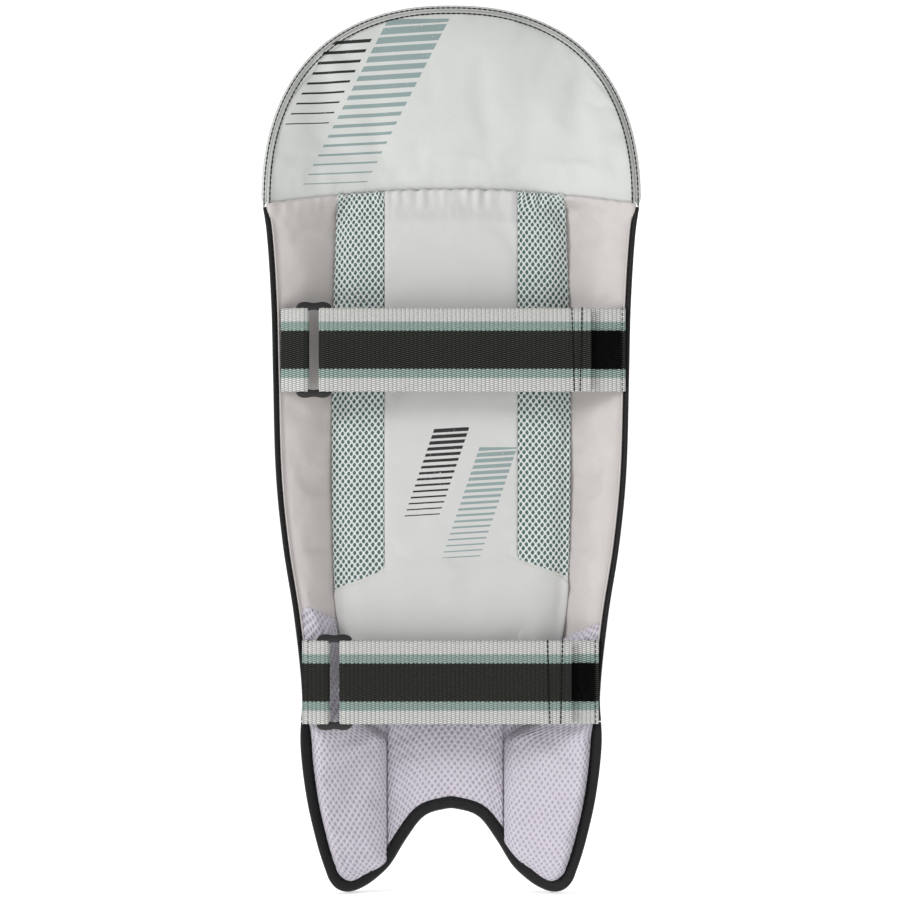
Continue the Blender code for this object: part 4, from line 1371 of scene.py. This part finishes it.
def ribbon(name, path, centre, half, thickness, finish, rib=0.00018, rows=40):
    """Ribbed webbing on edge along path, (x, y) points down its middle."""
    path = np.asarray(path)
    length = np.linalg.norm(np.diff(path, axis=0), axis=1).sum()
    count = max(4, int(round(length / (WEAVE_RIB / 5))))
    path = evenly(path, count + 1)
    along = np.gradient(path, axis=0)
    along /= np.linalg.norm(along, axis=1, keepdims=True)
    run = np.linspace(0, length, count + 1)

    def place(u, v, side):
        n = np.rint(u * count).astype(int)
        across = 2 * v - 1
        wave = 0.5 + 0.5 * np.cos(2 * math.pi * run[n] / WEAVE_RIB)
        edge = 1 - 0.55 * np.maximum(0, (abs(across) - 0.955) / 0.045) ** 2
        offset = (side - 0.5) * (thickness - 2 * rib + 4 * rib * wave) * edge
        reach = half - rib * 0.9 * (1 - wave)
        x = path[n, 0] - along[n, 1] * offset
        y = path[n, 1] + along[n, 0] * offset
        return at(x, y, centre + across * reach)

    strip = board(name, count, rows, place, [finish], rim=1)
    mesh = strip.data
    corners = np.empty(len(mesh.loops), np.int32)
    mesh.loops.foreach_get("vertex_index", corners)
    spots = points_of(strip)
    grid = np.tile(np.tile(run, rows + 1), 2)
    cloth = np.stack([grid, spots[:, 2] + LEG_MOUNT_HEIGHT - centre], -1)
    mesh.uv_layers["cloth"].data.foreach_set("uv", cloth.astype(np.float32)[corners].ravel())
    return strip


def arc(x, y, radius, start, end, steps=14):
    turn = np.radians(np.linspace(start, end, steps + 1))
    return list(zip(x + radius * np.cos(turn), y + radius * np.sin(turn)))


def make_ring(name, lay):
    """The moulded slide: two bars between rounded, slightly dipped ends."""
    slot, tip = WEBBING_HALF + 0.0004, WEBBING_HALF + 0.0004 + RING_END
    bar_out, bar_in = (BAR_SPACING + BAR) / 2, (BAR_SPACING - BAR) / 2
    turn = np.linspace(0, math.pi / 2, 9)
    corner = [(RING_HALF - 0.0058 + 0.0058 * math.cos(a), slot + (tip - slot) * math.sin(a)) for a in turn]
    dip = [
        ((RING_HALF - 0.0058) * (1 - s), tip - 0.0007 * math.sin(s * math.pi / 2) ** 2)
        for s in (0.25, 0.5, 0.75)
    ]
    quarter = [(bar_out, 0.0), (bar_out, slot - 0.0032), (bar_out + 0.0008, slot - 0.0012)]
    quarter += corner + dip + [(0.0, tip - 0.0007)]
    half = quarter + [(-x, z) for x, z in reversed(quarter[:-1])]
    outer = half[1:-1] + [(-x, -z) for x, z in half[1:-1]]
    end = [(bar_in * math.cos(a), slot - 0.0042 + 0.0026 * math.sin(a)) for a in np.linspace(0, math.pi, 9)]
    inner = end + [(-x, -z) for x, z in end]
    shape = bpy.data.curves.new(name, "CURVE")
    shape.dimensions = "2D"
    shape.fill_mode = "BOTH"
    shape.extrude = BAR / 2 - 0.0006
    shape.bevel_depth = 0.0006
    shape.bevel_resolution = 3
    shape.offset = -0.0006
    for loop in (outer, inner):
        path = shape.splines.new("POLY")
        path.points.add(len(loop) - 1)
        path.use_cyclic_u = True
        for n, (x, z) in enumerate(loop):
            path.points[n].co = (x, z, 0, 1)
    bent = bpy.data.objects.new(name, shape)
    scene.collection.objects.link(bent)
    graph = bpy.context.evaluated_depsgraph_get()
    mesh = bpy.data.meshes.new_from_object(bent.evaluated_get(graph))
    bpy.data.objects.remove(bent)
    ring = bpy.data.objects.new(name, mesh)
    scene.collection.objects.link(ring)
    spots = points_of(ring)
    middle = lay["left"] + BAR_SPACING / 2
    height = lay["centre"] - LEG_MOUNT_HEIGHT
    set_points(ring, np.stack([middle + spots[:, 0], lay["bar_y"] - spots[:, 2], height + spots[:, 1]], -1))
    weld = ring.modifiers.new("joined faces", "WELD")
    weld.merge_threshold = 0.00002
    applied(ring)
    ring.data.materials.clear()
    ring.data.materials.append(ring_plastic)
    ring.data.shade_smooth()
    ring.data.set_sharp_from_angle(angle=math.radians(40))
    return ring


def make_strap(name):
    lay = strap_layout(name)
    left, right, bar_y, centre = lay["left"], lay["right"], lay["bar_y"], lay["centre"]
    back = lay["tab_y"] - WEBBING - 0.0006
    halfway = between(lay["tab_x"], left, 0.5)
    tab = [(lay["tab_x"] + 0.0004, lay["tab_y"]), (halfway, between(lay["tab_y"], bar_y + LOOP, 0.5))]
    tab += arc(left, bar_y, LOOP, 90, -90)
    tab += [(halfway, between(back, bar_y - LOOP, 0.5)), (lay["tab_x"] + 0.0005, back)]
    tab_piece = ribbon(name + "_strap_tab", tab, centre, WEBBING_HALF, WEBBING, webbing)

    fold_end = right + FOLD_LENGTH
    spots = np.linspace(fold_end + 0.0002, lay["run_x"], 40)
    run_path = np.stack([spots, run_y(lay, spots)], -1)
    run = ribbon(name + "_strap_run", run_path, centre, WEBBING_HALF, WEBBING, webbing)

    free = [(fold_end, run_y(lay, fold_end)), (right + 0.004, run_y(lay, right + 0.004))]
    free += arc(right, bar_y, LOOP, 90, 270)
    spots = np.linspace(right + 0.004, lay["end_x"], 60)
    sag = 0.0009 * np.sin(np.linspace(0, math.pi, 60)) ** 2
    free += list(zip(spots, end_y(lay, spots) + sag * 0.4))
    end = ribbon(name + "_strap_free_end", free, centre, WEBBING_HALF, WEBBING, webbing)

    offset = WEBBING / 2 + 0.0003 + 0.0006
    spots = np.linspace(*lay["pile"], 40)
    pile_path = np.stack([spots, run_y(lay, spots) - offset], -1)
    pile = ribbon(name + "_loop_strip", pile_path, centre, 0.01235, 0.0011, loop_cloth, rib=0.00003, rows=20)
    ring = make_ring(name + "_ring_frame", lay)
    return {"lay": lay, "tab": tab_piece, "run": run, "end": end, "pile": pile, "ring": ring}


# Stitching


def shaping_tree(name, inputs, output):
    """A new tree with these named inputs and one shape as its output, and its two end nodes."""
    tree = bpy.data.node_groups.new(name, "GeometryNodeTree")
    for label, kind, value in inputs:
        socket = tree.interface.new_socket(label, in_out="INPUT", socket_type="NodeSocket" + kind)
        if value is not None:
            socket.default_value = value
    tree.interface.new_socket(output, in_out="OUTPUT", socket_type="NodeSocketGeometry")
    return tree, tree.nodes.new("NodeGroupInput"), tree.nodes.new("NodeGroupOutput")


def stitching_tree():
    """Lays a row of short thread stitches along every line it is given."""
    inputs = (
        ("Lines", "Geometry", None),
        ("Pitch", "Float", 0.0036),
        ("Stitch length", "Float", 0.0026),
        ("Thread radius", "Float", 0.0003),
        ("Thread", "Material", None),
    )
    tree, start, end = shaping_tree("row_of_stitches", inputs, "Stitches")
    line = tree.nodes.new("GeometryNodeMeshToCurve")
    spaced = tree.nodes.new("GeometryNodeResampleCurve")
    spaced.mode = "LENGTH"
    stitch = tree.nodes.new("GeometryNodeMeshUVSphere")
    stitch.inputs["Segments"].default_value = 6
    stitch.inputs["Rings"].default_value = 5
    stitch.inputs["Radius"].default_value = 0.5
    slim = tree.nodes.new("ShaderNodeMath")
    slim.operation = "MULTIPLY"
    slim.inputs[1].default_value = 2.0
    size = tree.nodes.new("ShaderNodeCombineXYZ")
    heading = tree.nodes.new("GeometryNodeInputTangent")
    turned = tree.nodes.new("FunctionNodeAlignRotationToVector")
    turned.axis = "Z"
    placed = tree.nodes.new("GeometryNodeInstanceOnPoints")
    real = tree.nodes.new("GeometryNodeRealizeInstances")
    smooth = tree.nodes.new("GeometryNodeSetShadeSmooth")
    finish = tree.nodes.new("GeometryNodeSetMaterial")
    for source, target in (
        (start.outputs["Lines"], line.inputs["Mesh"]),
        (line.outputs["Curve"], spaced.inputs["Curve"]),
        (start.outputs["Pitch"], spaced.inputs["Length"]),
        (spaced.outputs["Curve"], placed.inputs["Points"]),
        (stitch.outputs["Mesh"], placed.inputs["Instance"]),
        (heading.outputs["Tangent"], turned.inputs["Vector"]),
        (turned.outputs["Rotation"], placed.inputs["Rotation"]),
        (start.outputs["Thread radius"], slim.inputs[0]),
        (slim.outputs[0], size.inputs["X"]),
        (slim.outputs[0], size.inputs["Y"]),
        (start.outputs["Stitch length"], size.inputs["Z"]),
        (size.outputs["Vector"], placed.inputs["Scale"]),
        (placed.outputs["Instances"], real.inputs["Geometry"]),
        (real.outputs["Geometry"], smooth.inputs["Geometry"]),
        (smooth.outputs["Geometry"], finish.inputs["Geometry"]),
        (start.outputs["Thread"], finish.inputs["Material"]),
        (finish.outputs["Geometry"], end.inputs["Stitches"]),
    ):
        tree.links.new(source, target)
    return tree


STITCHING = stitching_tree()


def grown(name, base, tree, settings):
    """Runs a tree on a base mesh with its named inputs set, and returns the result as a plain piece."""
    carrier = bpy.data.objects.new(name, base)
    scene.collection.objects.link(carrier)
    growth = carrier.modifiers.new("growth", "NODES")
    growth.node_group = tree
    for item in tree.interface.items_tree:
        if item.in_out == "INPUT" and item.name in settings:
            growth[item.identifier] = settings[item.name]
    graph = bpy.context.evaluated_depsgraph_get()
    made = bpy.data.meshes.new_from_object(carrier.evaluated_get(graph), depsgraph=graph)
    carrier.modifiers.clear()
    made.name = name
    carrier.data = made
    return carrier


def stitches(name, lines, thread, pitch=0.0036, length=0.0027, radius=0.00028):
    """Rows of stitches along lines of points."""
    base = bpy.data.meshes.new(name)
    spots, edges = [], []
    for line in lines:
        first = len(spots)
        spots += [tuple(spot) for spot in line]
        edges += [(first + n, first + n + 1) for n in range(len(line) - 1)]
    base.from_pydata(spots, edges, [])
    settings = {"Pitch": pitch, "Stitch length": length, "Thread radius": radius, "Thread": thread}
    return grown(name, base, STITCHING, settings)


def pile_tree():
    """Scatters tiny bent loops over a patch."""
    inputs = (
        ("Patch", "Geometry", None),
        ("Loops a square metre", "Float", 900000.0),
        ("Loop radius", "Float", 0.00055),
        ("Seed", "Int", 7),
        ("Pile", "Material", None),
    )
    tree, start, end = shaping_tree("loop_pile", inputs, "Loops")
    scatter = tree.nodes.new("GeometryNodeDistributePointsOnFaces")
    hoop = tree.nodes.new("GeometryNodeCurvePrimitiveCircle")
    hoop.inputs["Resolution"].default_value = 6
    hoop.inputs["Radius"].default_value = 1.0
    fibre = tree.nodes.new("GeometryNodeCurvePrimitiveCircle")
    fibre.inputs["Resolution"].default_value = 3
    fibre.inputs["Radius"].default_value = 0.22
    loop = tree.nodes.new("GeometryNodeCurveToMesh")
    spin = tree.nodes.new("FunctionNodeRandomValue")
    spin.data_type = "FLOAT_VECTOR"
    vectors = [item for item in spin.inputs if item.type == "VECTOR"]
    vectors[0].default_value = (1.0, 0.0, 0.0)
    vectors[1].default_value = (2.1, 0.5, 6.28)
    placed = tree.nodes.new("GeometryNodeInstanceOnPoints")
    real = tree.nodes.new("GeometryNodeRealizeInstances")
    finish = tree.nodes.new("GeometryNodeSetMaterial")
    turn = next(item for item in spin.outputs if item.type == "VECTOR")
    seeds = [item for item in spin.inputs if item.name == "Seed"]
    for source, target in (
        (start.outputs["Patch"], scatter.inputs["Mesh"]),
        (start.outputs["Loops a square metre"], scatter.inputs["Density"]),
        (start.outputs["Seed"], scatter.inputs["Seed"]),
        (start.outputs["Seed"], seeds[0]),
        (scatter.outputs["Points"], placed.inputs["Points"]),
        (hoop.outputs["Curve"], loop.inputs["Curve"]),
        (fibre.outputs["Curve"], loop.inputs["Profile Curve"]),
        (loop.outputs["Mesh"], placed.inputs["Instance"]),
        (turn, placed.inputs["Rotation"]),
        (start.outputs["Loop radius"], placed.inputs["Scale"]),
        (placed.outputs["Instances"], real.inputs["Geometry"]),
        (real.outputs["Geometry"], finish.inputs["Geometry"]),
        (start.outputs["Pile"], finish.inputs["Material"]),
        (finish.outputs["Geometry"], end.inputs["Loops"]),
    ):
        tree.links.new(source, target)
    return tree


PILE = pile_tree()


def make_pile(name, lay):
    """Tiny loops over the part of the fastener that shows past the free end."""
    low, high = lay["end_x"] - 0.004, lay["pile"][1] - 0.0006
    face = -(WEBBING / 2 + 0.0003 + 0.0012)
    height = lay["centre"] - LEG_MOUNT_HEIGHT
    outline = ((low, -PILE_HALF), (high, -PILE_HALF), (high, PILE_HALF), (low, PILE_HALF))
    corners = [(x, run_y(lay, x) + face, height + z) for x, z in outline]
    base = bpy.data.meshes.new(name)
    base.from_pydata(corners, [], [(0, 1, 2, 3)])
    return grown(name, base, PILE, {"Loop radius": 0.00045, "Seed": 7, "Pile": loop_cloth})


def leg_line(spots, y_of, lift):
    """A line of (x, height) points laid this far off a face, on its leg side."""
    return at(spots[:, 0], y_of(spots[:, 0], spots[:, 1]) - lift, spots[:, 1])


# The pad, piece by piece

wings = {"left": make_wing("left", -1), "right": make_wing("right", 1)}
bolster_centre, bolster_left, bolster_right = make_bolster()
knee_flap = make_knee_flap()
knee_rolls = [make_knee_roll(n) for n in range(KNEE_ROLLS)]
mesh_rolls = {"left": make_mesh_roll("left", -1), "right": make_mesh_roll("right", 1)}
centre_pad = make_centre_pad()
fill_all()

for piece in (*wings.values(), knee_flap, *knee_rolls, bolster_centre):
    refine(piece, 1)
for piece, side in ((bolster_left, -1), (bolster_right, 1)):
    refine(piece, 2)
    dress_mesh_panel(piece, side)
for piece in (*mesh_rolls.values(), centre_pad):
    refine(piece, 2)
    knit(piece, AIR_MESH, 0.0005, AIR_MESH_EDGE)

shin_body = make_shin_body()
shin_facing = make_shin_facing()
instep = make_instep()
edge = instep_line()
instep_binding = binding(
    "instep_binding_tape", edge, inward_of(edge), instep_leg_y, instep_front_y, INSTEP_BINDING_WIDTH, tape
)
side_bindings = {"left": make_side_binding("left", -1), "right": make_side_binding("right", 1)}
edge_beads = {}
for name, side in (("left", -1), ("right", 1)):
    spots = side_line(side, TAPE_SHOWS + 0.0004)
    path = leg_line(spots, sheet_y, LINING + LAYER_GAP + BINDING_WALL + 0.0004)
    edge_beads[name] = ropes(name + "_edge_bead", evenly(path, 160), 0.0006, [lining], sides=8)
piping_spots = piping_line()
pucker = 1 + 0.05 * np.sin(np.arange(len(piping_spots)) * 2 * math.pi / 3.0)
piping = ropes("flap_piping", piping_spots, PIPING / 2 * pucker * 0.97, [white_leather])
straps = {name: make_strap(name) for name in ("upper", "lower")}
for name, parts in straps.items():
    parts["fuzz"] = make_pile(name + "_loop_pile", parts["lay"])

# Stitching on each body
flap_stitches = stitches(
    "flap_stitching",
    [piping_line(PIPING + 0.0014, 0.0006), piping_line(PIPING / 2, PIPING / 2 - 0.0012)],
    black_thread,
    pitch=0.0034,
    length=0.0036,
    radius=0.00050,
)
wing_lines = []
for side in (-1, 1):
    spots = side_line(side, TAPE_SHOWS - 0.0010)
    wing_lines.append(leg_line(spots, sheet_y, LINING + LAYER_GAP + BINDING_WALL + 0.0002))
    spots = side_line(side, BINDING_WIDTH - 0.0012)
    y = foam_front(*spots.T) + LAYER_GAP + COVER + BINDING_WALL + 0.0006
    wing_lines.append(at(spots[:, 0], y, spots[:, 1]))
binding_stitches = stitches("side_binding_stitching", wing_lines, black_thread, radius=0.00025)
front_lines = []
for n in range(CANES + 1):
    x = (n - CANES / 2) * RIB_PITCH
    height = np.linspace(INSTEP_SEAM + 0.004, SHIN_FACE_TOP - 0.002, 40)
    x = np.full_like(height, min(max(x, -SHIN_HALF + 0.0006), SHIN_HALF - 0.0006))
    front_lines.append(at(x, foam_front(x, height) + LAYER_GAP + COVER + 0.0004, height))
for side in (-1, 1):
    for line in WING_CHANNELS:
        height = np.linspace(INSTEP_SEAM + 0.004, flap_seam(0.09) - 0.006, 80)
        inner = SHIN_HALF + 2 * LAYER_GAP
        x = side * (inner + line * (half_width(height) - BINDING_WIDTH - inner))
        front_lines.append(at(x, wing_front_y(x, height) + 0.0001, height))
front_stitches = stitches("front_stitching", front_lines, white_thread)
instep_inside = instep_line(-(INSTEP_BINDING_WIDTH - 0.0016))
instep_lines = [
    leg_line(instep_inside, sheet_y, LAYER_GAP * 2 + BINDING_WALL + 0.0001),
    at(instep_inside[:, 0], instep_front_y(*instep_inside.T) + LAYER_GAP + BINDING_WALL, instep_inside[:, 1]),
]
instep_stitches = stitches("instep_stitching", instep_lines, black_thread, radius=0.00025)
bolster_lines = []
for side in (-1, 1):
    (outer, _), (inner, _) = MESH_ENDS[side]
    x = np.linspace(inner + side * 0.001, outer - side * 0.002, 30)
    height = mesh_end(side, x)
    bolster_lines.append(at(x, bolster_y(x, height) - 0.0032, height - 0.0006))
bolster_stitches = stitches("bolster_stitching", bolster_lines, white_thread, length=0.0022)

strap_threads = {}
for name, first, second in (("upper", 0.0118, 0.0066), ("lower", 0.0148, 0.0064)):
    lay = straps[name]["lay"]
    low, high = lay["centre"] - WEBBING_HALF + 0.0015, lay["centre"] + WEBBING_HALF - 0.0008
    height = np.linspace(low, high, 20)
    lines = []
    for back, lean in ((first, -0.0008), (second, 0.0006)):
        x = lay["end_x"] - back + lean * np.linspace(-1, 1, 20)
        lines.append(at(x, end_y(lay, x) - WEBBING / 2 - THREAD_LIFT, height))
    threads = stitches(name + "_end_stitching", lines, black_thread, 0.0030, 0.0030, 0.00045)
    tab_line = at(lay["tab_x"] + 0.0042, lay["tab_y"] - 1.5 * WEBBING - 0.0008, height)
    tab_threads = stitches(name + "_tab_stitching", [tab_line], black_thread, 0.0032, 0.0030, 0.0004)
    x = lay["run_x"] - 0.0022
    run_line = at(x, run_y(lay, x) - WEBBING / 2 - THREAD_LIFT, height)
    run_threads = stitches(name + "_run_stitching", [run_line], black_thread, 0.0032, 0.0026)
    strap_threads[name] = (threads, tab_threads, run_threads)

# What each piece stands for, what it rides on and how it bends
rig.replaces(wings["left"], "left_wing_lining", "left_wing_foam", "left_wing_cover")
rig.replaces(wings["right"], "right_wing_lining", "right_wing_foam", "right_wing_cover")
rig.replaces(bolster_centre, "bolster_centre_panel", "bolster_foam")
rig.replaces(bolster_left, "bolster_mesh_left")
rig.replaces(bolster_right, "bolster_mesh_right")
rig.replaces(shin_body, "shin_foam")
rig.replaces(shin_facing, "shin_facing")
for n, roll in enumerate(knee_rolls):
    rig.replaces(roll, "knee_roll_%d" % (n + 1))
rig.replaces(knee_flap, "knee_flap_cover", "knee_flap_foam", "knee_flap_facing")
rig.replaces(piping, "knee_flap_piping")
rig.replaces(instep, "instep_foam", "instep_cover")
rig.replaces(instep_binding, "instep_binding")
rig.replaces(centre_pad, "instep_centre_pad")
for name in ("left", "right"):
    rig.replaces(mesh_rolls[name], name + "_ankle_roll", name + "_instep_roll")
    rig.replaces(side_bindings[name], name + "_edge_binding")
    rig.ride(edge_beads[name], "pad")
    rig.slot(edge_beads[name], "lining_cloth")
    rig.ride(side_bindings[name], "pad")
    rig.slot(side_bindings[name], "black_tape")
    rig.ride(wings[name], "pad")
    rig.slot(wings[name], "lining_cloth")
    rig.padded(wings[name], fill=0.5)
    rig.padded(mesh_rolls[name], fill=0.8)
    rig.slot(mesh_rolls[name], "air_mesh")
    seam_z = INSTEP_SEAM - LEG_MOUNT_HEIGHT
    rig.blend(mesh_rolls[name], "pad", "instep", start=(0, 0, seam_z + 0.012), end=(0, 0, seam_z - 0.010))
for piece, slot in (
    (bolster_centre, "white_leather"),
    (bolster_left, "mesh_cloth"),
    (bolster_right, "mesh_cloth"),
    (shin_body, "white_leather"),
    (shin_facing, "white_leather"),
    *((roll, "white_leather") for roll in knee_rolls),
):
    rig.ride(piece, "pad")
    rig.slot(piece, slot)
    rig.padded(piece, fill=0.7)
for piece in (binding_stitches, front_stitches, bolster_stitches):
    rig.ride(piece, "pad")
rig.slot(knee_flap, "white_leather")
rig.padded(knee_flap, fill=0.7)
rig.slot(piping, "piping")
seam_z = FLAP_SEAM_HEIGHT - LEG_MOUNT_HEIGHT
for piece in (knee_flap, piping, flap_stitches):
    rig.blend(piece, "pad", "knee_flap", start=(0, 0, seam_z + 0.001), end=(0, 0, seam_z + FLAP_BEND))
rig.ride(instep, "instep")
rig.slot(instep, "white_leather")
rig.padded(instep, fill=0.6)
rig.ride(centre_pad, "instep")
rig.slot(centre_pad, "air_mesh")
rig.padded(centre_pad, fill=0.7)
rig.ride(instep_binding, "instep")
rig.slot(instep_binding, "black_tape")
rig.ride(instep_stitches, "instep")
for name, parts in straps.items():
    lay = parts["lay"]
    height = lay["centre"] - LEG_MOUNT_HEIGHT
    ring_body, end_body = name + "_ring", name + "_strap_end"
    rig.replaces(parts["tab"], name + "_strap_tab")
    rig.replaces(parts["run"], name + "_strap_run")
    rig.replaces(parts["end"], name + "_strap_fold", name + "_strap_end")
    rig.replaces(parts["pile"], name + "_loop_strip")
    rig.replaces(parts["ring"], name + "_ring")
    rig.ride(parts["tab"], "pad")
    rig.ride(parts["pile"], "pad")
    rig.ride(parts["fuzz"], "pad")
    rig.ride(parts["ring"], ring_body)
    start = (lay["right"] + 0.0340, 0, height)
    end = (lay["right"] + FOLD_LENGTH + 0.0006, 0, height)
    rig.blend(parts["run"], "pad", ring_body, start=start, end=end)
    start, end = (0, lay["bar_y"] + 0.0026, height), (0, lay["bar_y"] - 0.0015, height)
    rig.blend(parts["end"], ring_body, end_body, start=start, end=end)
    for part in ("tab", "run", "end"):
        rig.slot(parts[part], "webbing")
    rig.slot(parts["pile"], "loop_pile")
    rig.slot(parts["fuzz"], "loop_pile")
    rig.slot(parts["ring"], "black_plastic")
    threads, tab_threads, run_threads = strap_threads[name]
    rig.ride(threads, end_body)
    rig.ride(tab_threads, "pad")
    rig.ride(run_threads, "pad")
for name, thing in frame["nodes"].items():
    if name.startswith("cane_") or name.endswith("_hook_patch"):
        thing.data.materials.clear()
        thing.data.materials.append(cane if name.startswith("cane_") else hook_cloth)


# Floor, lights and camera


def make_floor():
    """A pale sheet that runs under the pad and curves up behind it."""
    floor_z = cad_box[0].z - 0.0006
    turn = np.radians(np.linspace(-90, 0, 13))
    profile = [(-8.0, floor_z), (6.4, floor_z)]
    profile += [(6.4 + 0.6 * math.cos(a), floor_z + 0.6 + 0.6 * math.sin(a)) for a in turn[1:]]
    profile += [(7.0, 1.6)]
    spots = [(x, y, z) for x in (-7.0, 7.0) for y, z in profile]
    count = len(profile)
    faces = [(n, count + n, count + n + 1, n + 1) for n in range(count - 1)]
    mesh = bpy.data.meshes.new("studio_floor")
    mesh.from_pydata(spots, [], faces)
    pale = plain_finish("pale_sheet", (244, 244, 244), (250, 250, 250), 0.85, 3.0, 0.0001)
    glow = pale.node_tree.nodes["Principled BSDF"]
    glow.inputs["Emission Color"].default_value = (1, 1, 1, 1)
    glow.inputs["Emission Strength"].default_value = 0.5
    mesh.materials.append(pale)
    mesh.shade_smooth()
    floor = bpy.data.objects.new("studio_floor", mesh)
    scene.collection.objects.link(floor)
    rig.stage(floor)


def add_light(name, place, size, power):
    lamp = bpy.data.lights.new(name, "AREA")
    lamp.size = size
    lamp.energy = power
    holder = bpy.data.objects.new(name, lamp)
    holder.location = place
    holder.rotation_euler = (-Vector(place)).to_track_quat("-Z", "Y").to_euler()
    scene.collection.objects.link(holder)


def make_studio():
    make_floor()
    add_light("key", (-2.1, -1.7, 1.1), 0.8, 33)
    add_light("fill", (2.0, -2.2, 0.3), 1.6, 5)
    add_light("back_key", (1.7, 1.9, 1.3), 0.9, 17)
    add_light("back_fill", (-2.0, 1.8, 0.4), 1.4, 4)
    world = bpy.data.worlds.new("studio")
    world.use_nodes = True
    tree = world.node_tree
    background = tree.nodes["Background"]
    background.inputs["Color"].default_value = (1, 1, 1, 1)
    background.inputs["Strength"].default_value = 0.48
    scene.world = world
    scene.view_settings.view_transform = "Standard"


def make_camera():
    away = 3.0
    seen = 0.585
    lens = bpy.data.cameras.new("view")
    lens.sensor_width = 36.0
    lens.lens = lens.sensor_width * away / seen
    holder = bpy.data.objects.new("view", lens)
    holder.location = (-0.0007, -away, -0.0028)
    holder.rotation_euler = (math.pi / 2, 0, 0)
    scene.collection.objects.link(holder)
    scene.camera = holder


make_studio()
make_camera()
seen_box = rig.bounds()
boxes = {"cad": [list(corner) for corner in cad_box], "visual": [list(corner) for corner in seen_box]}
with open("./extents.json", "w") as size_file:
    json.dump(boxes, size_file)
